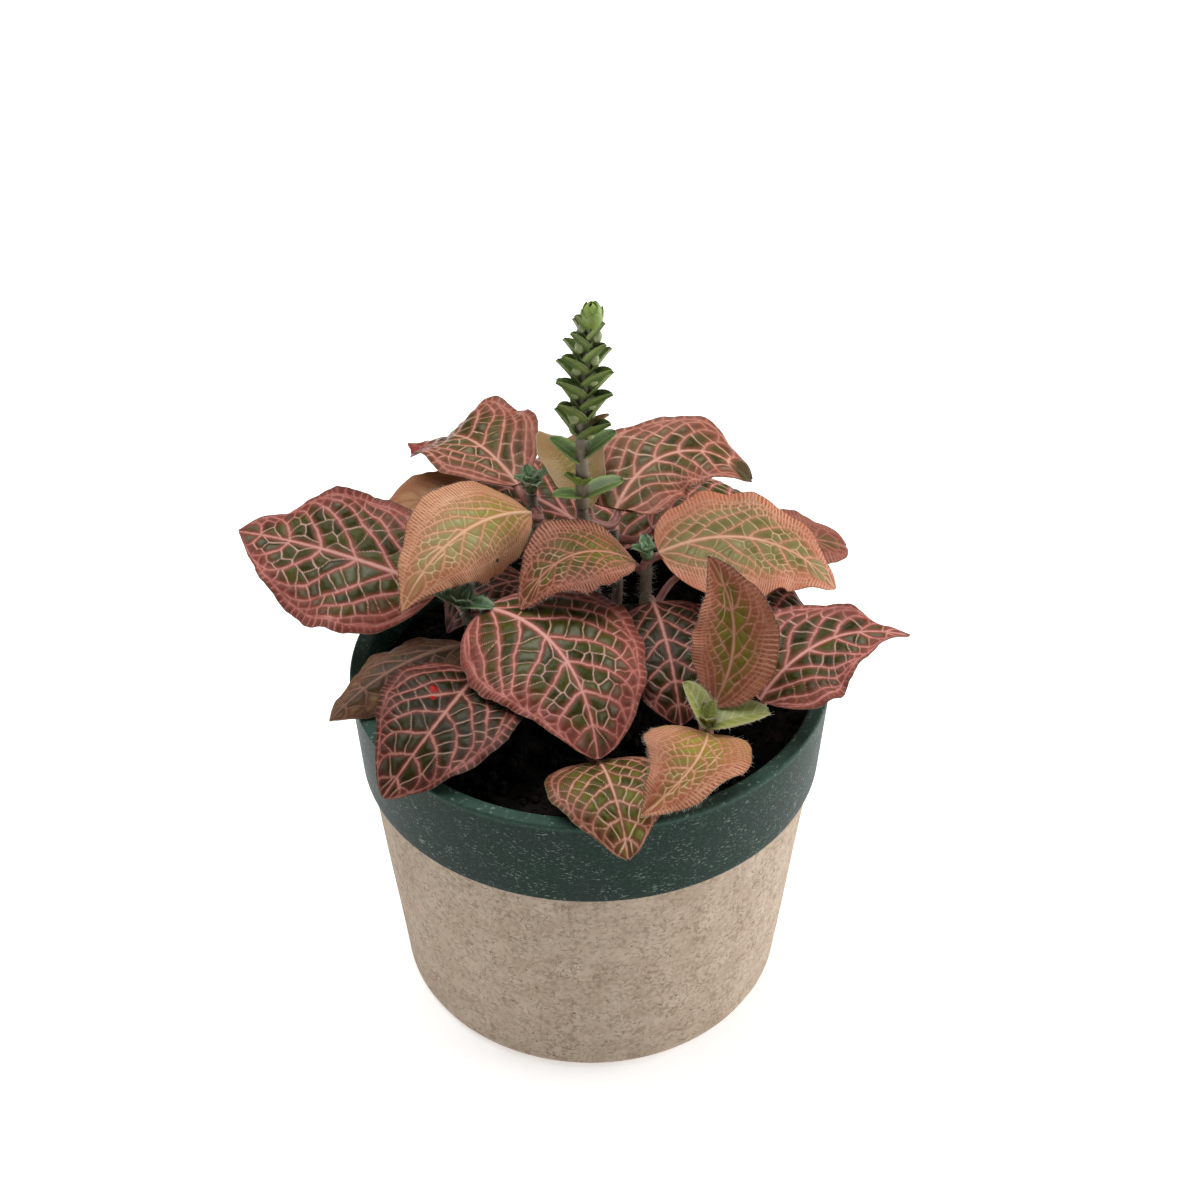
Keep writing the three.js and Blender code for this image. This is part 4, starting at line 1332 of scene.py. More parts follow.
        # The thin veins run where two cells' middles are equally near.
        minor = np.full(x.shape, FAR)
        tint = np.zeros(x.shape)
        for number, (cells, tints) in enumerate(zip(self.cells, self.tints)):
            here = strip == number
            if len(cells) == 0 or not here.any():
                continue
            places = np.stack([wide[here], deep[here]], axis=1)
            gaps = np.linalg.norm(places[:, None] - cells[None], axis=2)
            nearest = gaps.argmin(axis=1)
            tint[here] = tints[nearest]
            if len(cells) > 1:
                own = np.arange(len(places))
                apart = np.linalg.norm(cells[nearest][:, None] - cells[None], axis=2)
                lines = (gaps**2 - gaps[own, nearest][:, None] ** 2) / (2.0 * np.maximum(apart, 1e-6))
                lines[own, nearest] = FAR
                minor[here] = lines.min(axis=1)
        return main, minor - plan.link * (1.0 + 0.2 * np.sin(wide + six)), tint


@dataclass
class Leaf:
    """A leaf: its blade, its stalk and the stem that it grows from."""

    name: str
    stem: str
    base: Place  # where the blade starts
    tip: Place
    half: Pair  # the left and right half widths
    arch: float  # how far the midrib bows up
    wave: Place  # the margin's ripple: its height, its waves along the blade and its phase
    look: Look
    style: Veins = Veins.OPEN
    belly: float = 0.42  # the share of the length where it is widest
    point: float = 0.9  # how drawn out the tip is
    fold: Pair = (5.0, 5.0)  # how far each hand is folded up, in degrees
    curl: Pair = (-22.0, -22.0)  # how far each hand curls on from there to its margin
    sway: float = 0.0  # how far the midrib bows to the right
    hook: float = 0.0  # how far the tip hooks down
    roll: float = 0.0  # the blade's bank in degrees
    node: float = 0.93  # where it grows on its stem, as a share of the height
    step: float = 0.36  # mm between the mesh's points
    fringe: int = 0  # hairs along the margin
    flaws: tuple = ()  # kind (0 dark, 1 red, 2 a blush), share along, share across, radius in mm
    blade_ends: Pair = (0.0006, 0.984)
    thickness: float = 0.5
    stalk_radii: tuple[Pair, ...] = ((0.0, 1.35), (0.12, 1.1), (0.4, 0.9), (1.0, 0.3))
    rib_share: float = 0.62  # how far the stalk runs on under the blade
    tip_rounding: Pair = (0.945, 0.044)  # where it starts and how long it is, as shares
    dome: float = 1.9  # mm from a vein at which a cell stands highest
    hem: float = 1.2  # mm along the margin where the cells flatten
    ridge: Pair = (0.45, 0.9)  # the raised midrib's height and half width in mm
    crimp_lift: tuple[Pair, ...] = ((0.36, 9.1), (0.10, 3.4))  # height and length over tau, in mm
    crimp_reach: tuple[Pair, ...] = ((0.24, 7.6), (0.06, 2.6))

    def __post_init__(self) -> None:
        """Works out the chord and the directions that follow from it."""
        self.start = np.array(self.base)
        self.chord = np.array(self.tip) - self.start
        self.length = float(np.linalg.norm(self.chord))
        self.right = unit(np.cross(unit(self.chord), UP))
        self.up = np.cross(self.right, unit(self.chord))

    def width(self, x: Array) -> Array:
        """The half width, rounded off at the tip.

        Args:
            x: shares of the length.

        Returns:
            The half widths there, as shares of the greatest.
        """
        full = self.point * self.belly / (1.0 - self.belly)
        peak = self.belly**full * (1.0 - self.belly) ** self.point
        share = np.clip(x, 1e-6, 1.0 - 1e-6)
        start, length = self.tip_rounding
        cap = np.sqrt(np.clip(1.0 - (np.clip(share - start, 0.0, None) / length) ** 2, 0.0, 1.0))
        return share**full * (1.0 - share) ** self.point / peak * cap

    def spine(self, x: Array) -> Array:
        """The midrib.

        Args:
            x: shares of the length.

        Returns:
            The midrib's places there.
        """
        bow = 4.0 * x * (1.0 - x)
        hooked = np.clip((x - HOOK_START) / (1.0 - HOOK_START), 0.0, None) ** 2
        lift = self.arch * bow - self.hook * hooked
        return (self.start + x[..., None] * self.chord + lift[..., None] * self.up
                + (self.sway * bow)[..., None] * self.right)

    def frame(self, x: Array) -> tuple[Array, Array, Array]:
        """The directions at the midrib.

        Args:
            x: shares of the length.

        Returns:
            The midrib's direction, the blade's right hand and its upward normal there.
        """
        bank = math.radians(self.roll)
        tangent = unit(self.spine(x + 0.01) - self.spine(x - 0.01))
        side = self.right * math.cos(bank) - self.up * math.sin(bank)
        side = unit(side - tangent * (tangent @ side)[..., None])
        return tangent, side, np.cross(side, tangent)

    def surface(self, s: Array, t: Array) -> tuple[Array, Array]:
        """The blade's middle face.

        Args:
            s: shares of the length where the rows start on the midrib.
            t: shares across, from -1 at the left margin to 1 at the right.

        Returns:
            The places, and their shares along the midrib.
        """
        reach = np.abs(t)
        x = s + VEIN_SWEEP * smoothstep(s, 0.0, SWEEP_START) * (1.0 - s) * reach**VEIN_BEND
        hand = t >= 0.0
        height, waves, phase = self.wave
        fold = np.radians(np.where(hand, self.fold[1], self.fold[0]))
        half = np.where(hand, self.half[1], self.half[0])
        bend = np.radians(np.where(hand, self.curl[1], self.curl[0])) / half
        turn = fold + bend * reach * half * self.width(x)
        across = (np.sin(turn) - np.sin(fold)) / bend
        ripple = height * t * t * np.sin(2.0 * np.pi * (waves * x + phase + OTHER_HAND * hand))
        lift = (np.cos(fold) - np.cos(turn)) / bend + ripple * np.minimum(1.0, 5.0 * s * (1.0 - s))
        _, side, normal = self.frame(x)
        return self.spine(x) + side * (np.sign(t) * across)[..., None] + normal * lift[..., None], x

    def grid(self) -> tuple[Array, Array]:
        """The mesh's rows and columns, closer together towards the base.

        Returns:
            Their shares along and across, each as a grid.
        """
        rows = 2 * round(self.length / self.step / 2.0) + 1
        columns = 2 * round(sum(self.half) / self.step / 4.0) * 2 + 1
        u = np.linspace(0.0, 1.0, rows)
        early = u * u * 1.1 / (u + 0.1)
        first, last = self.blade_ends
        return np.meshgrid(first + (last - first) * early, np.linspace(-1.0, 1.0, columns), indexing="ij")

    def build(self, stem: Array, finishes: "Finishes", seed: int) -> None:
        """Makes the leaf.

        Args:
            stem: the middle line of the stem that it grows from.
            finishes: every finish in use.
            seed: of its veins and hairs.
        """
        draw = np.random.default_rng(seed)
        draft = Draft(("veins", "spot", "flaws"))
        s, t = self.grid()
        middle, x = self.surface(s, t)
        middle = middle + self.crimp(x, t, draw)
        veins = np.zeros(middle.shape)
        for hand in (0, 1):
            net = VeinNet(self.style.value, self.length * 1.04, self.half[hand], self.width, draw)
            mine = (t >= 0.0) == bool(hand)
            veins[mine] = np.stack(net.measure(x[mine], np.abs(t[mine])), axis=-1)
        margin = (1.0 - np.abs(t)) * np.where(t < 0.0, *self.half) * self.width(x)
        spot = np.stack([x, t, margin], axis=-1)
        down_rows, over_columns = np.gradient(middle, axis=(0, 1))
        normal = unit(np.cross(over_columns, down_rows))
        upper = middle + normal * self.relief(veins, margin, x, t)[..., None]
        body = self.thickness * (1.0 - 0.6 * np.abs(t) ** 8)
        lower = (middle - normal * body[..., None])[::2, ::2]
        flaws = np.zeros(middle.shape)
        for kind, along, across, radius in self.flaws:
            nearest = np.argmin((x - along) ** 2 + 0.2 * (t - across) ** 2)
            away = np.linalg.norm(middle - middle.reshape(-1, 3)[nearest], axis=-1)
            flaws[..., kind] = np.maximum(flaws[..., kind], 1.0 - smoothstep(away, 0.0, radius))
        top = draft.add_grid(upper, 0, veins=veins, spot=spot, flaws=flaws)
        under = draft.add_grid(lower, 1, flip=True, veins=veins[::2, ::2], spot=spot[::2, ::2])
        outer, inner = edge_of(top), edge_of(under)
        outer, inner = [*outer, outer[0]], [*inner, inner[0]]
        hem = [
            [outer[2 * k + 2], outer[2 * k + 1], outer[2 * k], inner[k], inner[k + 1]]
            for k in range(len(inner) - 1)
        ]
        draft.add_faces(hem, 0)
        self.add_stalk(draft, stem)
        if self.fringe:
            self.add_fringe(draft, middle, draw)
        materials = [*finishes.blade(self.look), finishes.stalk, finishes.hair]
        place_piece(draft.object(f"{self.name}_blade", materials), self.name)

    def relief(self, veins: Array, margin: Array, x: Array, t: Array) -> Array:
        """How far the upper face swells between its veins and stands up along the midrib.

        Args:
            veins: the points' distances to the veins.
            margin: their distances to the margin in mm.
            x: their shares along the midrib.
            t: their shares across.

        Returns:
            The heights in mm.
        """
        gap = np.clip(np.minimum(veins[..., 0], veins[..., 1] + 0.1), 0.0, None)
        dome = 0.5 - 0.5 * np.cos(np.clip(gap / self.dome, 0.0, 1.0) * np.pi)
        swell = self.style.value.puff * dome * np.clip(margin / self.hem, 0.0, 1.0)
        across = np.abs(t) * np.where(t < 0.0, *self.half) * self.width(x)
        height, breadth = self.ridge
        ridge = height * np.exp(-((across / breadth) ** 2)) * (1.0 - smoothstep(x, 0.0, 0.5))
        return swell + ridge

    def crimp(self, x: Array, t: Array, draw: Random) -> Array:
        """The fine crimping of the margin, as offsets of the blade's points.

        Args:
            x: the points' shares along the midrib.
            t: their shares across.
            draw: where the waves' phases come from.

        Returns:
            The offsets.
        """
        near = np.abs(t) ** 5 * np.clip(6.0 * x * (1.0 - x), 0.0, 1.0)
        phases = draw.uniform(0.0, 2.0 * np.pi, 4)
        turn = 2.0 * np.pi * x * self.length + np.where(t < 0.0, 1.7, 0.0)
        lift, reach = (
            sum(size * np.sin(turn / long + phase) for (size, long), phase in zip(waves, shifts))
            for waves, shifts in ((self.crimp_lift, phases[:2]), (self.crimp_reach, phases[2:]))
        )
        _, side, normal = self.frame(x)
        return normal * (near * lift)[..., None] - side * (np.sign(t) * near * (0.4 + reach))[..., None]

    def add_stalk(self, draft: Draft, stem: Array) -> None:
        """Adds the leaf stalk, which runs on under the blade as its rib.

        Args:
            draft: the leaf's mesh.
            stem: the middle line of the stem that it grows from.
        """
        def below(share: float, depth: float) -> Array:
            """A place under the midrib."""
            at = np.array([share])
            return (self.spine(at) - depth * self.frame(at)[2])[0]

        tangent = self.frame(np.array([0.0]))[0][0]
        root = stem[round(self.node * (len(stem) - 1))]
        through = [
            root, below(0.0, 1.1) - 4.0 * tangent, below(0.06, 0.9),
            below(self.rib_share / 2.0, 0.6), below(self.rib_share, 0.55),
        ]
        path = curve_through(through, 60)
        radii = np.interp(np.linspace(0.0, 1.0, len(path)), *zip(*self.stalk_radii))
        draft.add_tube(path, radii, 12, 2)

    def add_fringe(self, draft: Draft, middle: Array, draw: Random) -> None:
        """Adds fine hairs along the margin.

        Args:
            draft: the leaf's mesh.
            middle: the blade's middle face, as a grid.
            draw: where their places come from.
        """
        for column, next_in in ((0, 3), (-1, -4)):
            rows = draw.integers(2, len(middle) - 2, self.fringe // 2)
            roots = middle[rows, column]
            Fuzz(length=(0.4, 1.1), radius=0.03, droop=0.1).grow(
                draft, roots, unit(roots - middle[rows, next_in]), 3, draw
            )


# ---- Flower spike and shoot tips ----
@dataclass
class Scale:
    """A small pointed leaf or bract, cupped towards its upper face and turned back at its tip."""

    root: Array
    heading: float  # in degrees, as its rise
    rise: float
    length: float
    width: float
    cup: float = 0.5  # how far its margins stand up
    back: float = 0.25  # how far its tip turns back
    full: float = 0.55  # how slowly it widens from its root
    shade: float = 0.0  # how pale it is
    thickness: float = 0.45
    keel: float = 0.06  # how deep its fold is, as a share of its width
    teeth: int = 0
    tooth: float = 0.07

    def add_to(self, draft: Draft, slot: int, rows: int = 15, columns: int = 11) -> Array:
        """Adds the scale.

        Args:
            draft: the mesh that it joins.
            slot: its finish's number.
            rows: points along it.
            columns: points across it.

        Returns:
            The places along its margin.
        """
        shares = np.linspace(0.0, 0.985, rows) ** 1.15
        u, v = np.meshgrid(shares, np.linspace(-1.0, 1.0, columns), indexing="ij")
        peak = 0.4 ** self.full * 0.6 ** (self.full * 1.5)
        breadth = np.maximum(u, 1e-4) ** self.full * (1.0 - u) ** (self.full * 1.5) / peak
        breadth = np.maximum(breadth, 0.28 * (1.0 - u)) * self.width / 2.0
        if self.teeth:
            breadth = breadth * (1.0 + self.tooth * np.abs(np.sin(np.pi * self.teeth * u)))
        x = v * breadth
        y = u * self.length
        z = self.cup * breadth * v * v - self.back * self.length * u**2.2
        z = z - self.keel * self.width * (1.0 - np.abs(v)) ** 3
        turn = Euler((math.radians(self.rise), 0.0, math.radians(self.heading - 90.0))).to_matrix()
        local = np.stack([x, y, z], axis=-1)
        body = np.stack([np.zeros_like(z), np.zeros_like(z), self.thickness * (1.0 - 0.7 * v**4)], axis=-1)
        matrix = np.array(turn).T
        upper, lower = (local + body / 2.0) @ matrix + self.root, (local - body / 2.0) @ matrix + self.root
        spot = np.stack([u, v, np.full_like(u, self.shade)], axis=-1)
        draft.add_slab(upper, lower, slot, spot)
        return np.concatenate([upper[2:, 0], upper[2:, -1]])


@dataclass
class Bud:
    """A closed bud: rounded scales that lie over each other round an egg."""

    middle: Array
    radius: float
    tall: float = 1.35
    ranks: tuple[Pair, ...] = ((84.0, 0.0), (58.0, 0.10), (30.0, 0.20))  # how high, how far out
    scales: int = 4

    def add_to(self, draft: Draft, slot: int) -> None:
        """Adds the bud.

        Args:
            draft: the mesh that it joins.
            slot: its finish's number.
        """
        u, v = np.meshgrid(np.linspace(0.0, 1.0, 17), np.linspace(-1.0, 1.0, 15), indexing="ij")
        round_tip = np.sqrt(np.clip(1.0 - u**3.5, 0.0, 1.0)) + 0.02
        for rank, (reach, stand) in enumerate(self.ranks):
            rise = np.radians(-70.0 + (reach + 70.0) * u * (1.0 - 0.12 * v * v))
            for k in range(self.scales):
                turn = np.radians(90.0 * k + 45.0 * rank + 17.0 + 62.0 * v * round_tip / np.cos(rise / 1.5))
                out = self.radius * (1.0 + stand + 0.10 * (1.0 - v * v) + 0.10 * u**4)
                faces = []
                for depth in (0.0, 0.3):
                    size = out - depth
                    faces.append(self.middle + np.stack([
                        size * np.cos(rise) * np.cos(turn), size * np.cos(rise) * np.sin(turn),
                        self.tall * size * np.sin(rise),
                    ], axis=-1))
                spot = np.stack([u, v, np.full_like(u, 0.9 - 0.35 * rank)], axis=-1)
                draft.add_slab(faces[0], faces[1], slot, spot)


@dataclass
class FlowerSpike:
    """The upright spike: pairs of bracts crosswise up its axis, a bud on top, leaflets at its foot."""

    foot: Place = (-2.0, 21.0, 127.0)
    top: Place = (0.6, 21.0, 182.5)
    radius: Pair = (1.7, 1.1)
    tiers: int = 10
    tier_shares: Pair = (0.35, 0.89)
    lengths: Pair = (10.6, 7.0)  # of the lowest and the highest bracts
    rises: Pair = (48.0, 68.0)  # theirs, in degrees
    heading: float = 20.0  # degrees that a pair is turned from the X axis, to either side by turns
    breadth: float = 0.48  # a bract's width, as a share of its length
    pods: Pair = (1.35, 1.8)
    bud: Pair = (7.0, 4.8)  # its height and width
    leaflets: tuple = ((0.06, -160, 20, 8), (0.06, 12, 24, 11), (0.24, 165, 42, 10), (0.27, 12, 42, 10.5))
    seed: int = 5

    def share_of(self, tier: int) -> float:
        """The share of the height where a pair of bracts grows: the pairs draw together upwards."""
        return self.tier_shares[0] + float(np.ptp(self.tier_shares)) * (tier / (self.tiers - 1)) ** 0.85

    def build(self, finishes: "Finishes") -> None:
        """Makes the spike.

        Args:
            finishes: every finish in use.
        """
        draw = np.random.default_rng(self.seed)
        foot, top = np.array(self.foot) + 0.6 * UP, np.array(self.top)
        path = curve_through([foot, (foot + top) / 2.0 + np.array([-1.0, 0.0, 0.0]), top], 100)
        draft = Draft(("spot",))
        share = np.linspace(0.0, 1.0, len(path))
        radii = self.radius[0] + (self.radius[1] - self.radius[0]) * share
        for tier in range(self.tiers):
            at = self.share_of(tier)
            radii = radii * (1.0 + 0.18 * np.exp(-(((share - at) / 0.012) ** 2)))
        draft.add_tube(path, radii, 14, 1)
        edges = []
        for tier in range(self.tiers):
            up = tier / (self.tiers - 1)
            root = path[round(self.share_of(tier) * 100)]
            length = self.lengths[0] + (self.lengths[1] - self.lengths[0]) * up**2
            rise = self.rises[0] + (self.rises[1] - self.rises[0]) * up**2
            turn = self.heading if tier % 2 else -self.heading
            for heading in (turn + draw.normal(0.0, 6.0), turn + 180.0 + draw.normal(0.0, 6.0)):
                bract = Scale(root, heading, rise + draw.normal(0.0, 4.0), length, self.breadth * length,
                              cup=0.9, back=0.06, full=0.46, shade=0.45 * up + draw.uniform(-0.2, 0.25))
                edges.append(bract.add_to(draft, 0))
                away = facing(heading)
                size = draw.uniform(*self.pods) * (1.0 - 0.35 * up)
                self.add_ball(draft, root + (radii[0] + 0.3 * size) * away + 2.4 * size * UP, size, 1.4, 4)
        Bud(top - 0.05 * self.bud[0] * UP, 0.44 * self.bud[1]).add_to(draft, 2)
        Scale(path[40], 12.0, 30.0, 8.0, 2.6, cup=0.8, back=-0.05).add_to(draft, 5)
        for heading, rise, length in ((-55.0, 58.0, 6.5), (-125.0, 64.0, 6.0), (200.0, 55.0, 7.0)):
            small = Scale(path[10], heading, rise, length, 0.5 * length, back=0.1, full=0.4, shade=0.1)
            small.add_to(draft, 2)
        for at, heading, rise, length in self.leaflets:
            leaflet = Scale(path[round(at * 100)], heading, rise, length, 0.62 * length, cup=0.2, back=0.12,
                            full=0.34, shade=0.0 if at > 0.1 else 0.35, teeth=7)
            edges.append(leaflet.add_to(draft, 0, rows=21, columns=15))
        hairs = np.concatenate([row[draw.integers(0, len(row), 14)] for row in edges])
        Fuzz(length=(0.4, 0.9), radius=0.03).grow(draft, hairs, unit(hairs - path[50]), 3, draw)
        rings = rings_round(path, radii, 14)
        picked = draw.integers(0, 96, 500), draw.integers(0, 14, 500)
        roots = rings[picked]
        Fuzz(length=(0.5, 1.2), radius=0.035).grow(draft, roots, unit(roots - path[picked[0]]), 3, draw)
        materials = [finishes.bract, finishes.spike_axis, finishes.bud, finishes.hair, finishes.pod,
                     finishes.withered]
        place_piece(draft.object("flower_spike_bracts", materials), "flower_spike")

    @staticmethod
    def add_ball(draft: Draft, middle: Array, size: float, tall: float, slot: int) -> None:
        """Adds an egg shape.

        Args:
            draft: the mesh that it joins.
            middle: its middle.
            size: its radius.
            tall: how many times as tall as wide it is.
            slot: its finish's number.
        """
        share = np.sin(np.linspace(-0.5, 0.5, 13) * np.pi)
        path = middle + np.outer(tall * size * share, UP)
        draft.add_tube(path, size * np.sqrt(1.004 - share**2), 14, slot)


@dataclass
class ShootTip:
    """The small unopened leaves on a stem's top."""

    name: str
    stem: str
    leaves: list[Place]  # each one's heading and rise in degrees, and its length
    core: float = 1.7
    fuzz: int = 0
    inner: int = 1  # smaller leaves inside each one
    shade: float = 0.0  # how pale they are
    lime: bool = False

    def build(self, top: Place, finishes: "Finishes", seed: int) -> None:
        """Makes the tip.

        Args:
            top: where its stem ends.
            finishes: every finish in use.
            seed: of its leaves' unevenness and hairs.
        """
        draw = np.random.default_rng(seed)
        heart = np.array(top) + (self.core + 0.6) * UP
        draft = Draft(("spot",))
        path = heart + np.outer(np.linspace(-1.0, 0.9, 9) * self.core, UP)
        draft.add_tube(path, self.core * np.sqrt(1.02 - np.linspace(-1.0, 0.95, 9) ** 2), 12, 0)
        edges = []
        for heading, rise, length in self.leaves:
            leaf = Scale(heart, heading, rise + 4.0, length, 0.8 + 0.56 * length, cup=0.3, back=0.16,
                         full=0.36, shade=self.shade + draw.uniform(0.0, 0.3),
                         teeth=11 if length > 9.0 else 5)
            edges.append(leaf.add_to(draft, 0, rows=45, columns=21))
            for rank in range(self.inner):
                smaller = replace(leaf, heading=heading + 40.0 + 35.0 * rank,
                                  rise=min(rise + 20.0 + 14.0 * rank, 84.0), shade=0.4 + 0.2 * rank,
                                  length=(0.72 - 0.12 * rank) * length, width=(0.46 - 0.06 * rank) * length)
                edges.append(smaller.add_to(draft, 0))
        margins = np.concatenate(edges)
        roots = margins[draw.integers(0, len(margins), self.fuzz)]
        Fuzz(length=(0.5, 1.5), radius=0.04).grow(draft, roots, unit(roots - heart), 1, draw)
        green = finishes.lime_leaf if self.lime else finishes.tip_leaf
        place_piece(draft.object(f"{self.name}_leaves", [green, finishes.hair]), self.name)


# ---- The plant ----
class Finishes:
    """Every finish of the plant, each made once."""

    def __init__(self) -> None:
        """Makes the finishes that don't belong to one kind of blade."""
        self._blades: dict[Look, tuple[Material, Material]] = {}
        self.stem = FleshFinish("stem", (0.17, 0.10, 0.08), (0.11, 0.11, 0.06)).material()
        self.stalk = FleshFinish("leaf stalk", (0.22, 0.055, 0.048), (0.36, 0.15, 0.11), 3.0).material()
        self.hair = HairFinish().material()
        self.bract = ScaleFinish(
            "bract", (0.060, 0.115, 0.022), (0.26, 0.34, 0.10), (0.21, 0.25, 0.09)
        ).material()
        self.bud = ScaleFinish("bud", (0.16, 0.26, 0.035), (0.33, 0.42, 0.11), (0.05, 0.11, 0.012)).material()
        self.pod = FleshFinish("pod", (0.40, 0.42, 0.22), (0.19, 0.26, 0.08), 2.0).material()
        self.withered = FleshFinish("withered", (0.42, 0.20, 0.13), (0.25, 0.17, 0.09), 2.0).material()
        self.spike_axis = FleshFinish("spike axis", (0.18, 0.135, 0.115), (0.27, 0.24, 0.16), 4.0).material()
        self.tip_leaf = ScaleFinish(
            "tip leaf", (0.022, 0.080, 0.020), (0.25, 0.37, 0.19), (0.02, 0.06, 0.015)
        ).material()
        self.lime_leaf = ScaleFinish(
            "lime leaf", (0.20, 0.23, 0.040), (0.40, 0.38, 0.17), (0.12, 0.15, 0.03), ribs=6.0
        ).material()

    def blade(self, look: Look) -> tuple[Material, Material]:
        """A blade's upper and under finish."""
        if look not in self._blades:
            self._blades[look] = (look.value.upper(), look.value.lower())
        return self._blades[look]


STEMS = [
    Stem("stem_spike", foot=(2, 14), top=(-2, 21, 127), radius=1.9, bow=1),
    Stem("stem_middle", foot=(8, 0), top=(14, 9, 119.5), radius=1.7, bow=2),
    Stem("stem_back_left", foot=(-8, 18), top=(-15, 31, 124), radius=1.7, bow=-2),
    Stem("stem_left", foot=(-14, -2), top=(-31, 1, 110), radius=1.7, bow=2),
    Stem("stem_rim_left", foot=(-20, -16), top=(-32, -14, 101), radius=1.5, bow=1),
    Stem("stem_front", foot=(0, -24), top=(0, -33, 94), radius=1.3, bow=1),
    Stem("stem_front_right", foot=(18, -21), top=(27.5, -37, 104), radius=1.5, bow=2),
    Stem("stem_right", foot=(25, -6), top=(36, -24, 102), radius=1.4, bow=-1),
    Stem("stem_back", foot=(4, 28), top=(6, 38, 108), radius=1.6, bow=2),
]

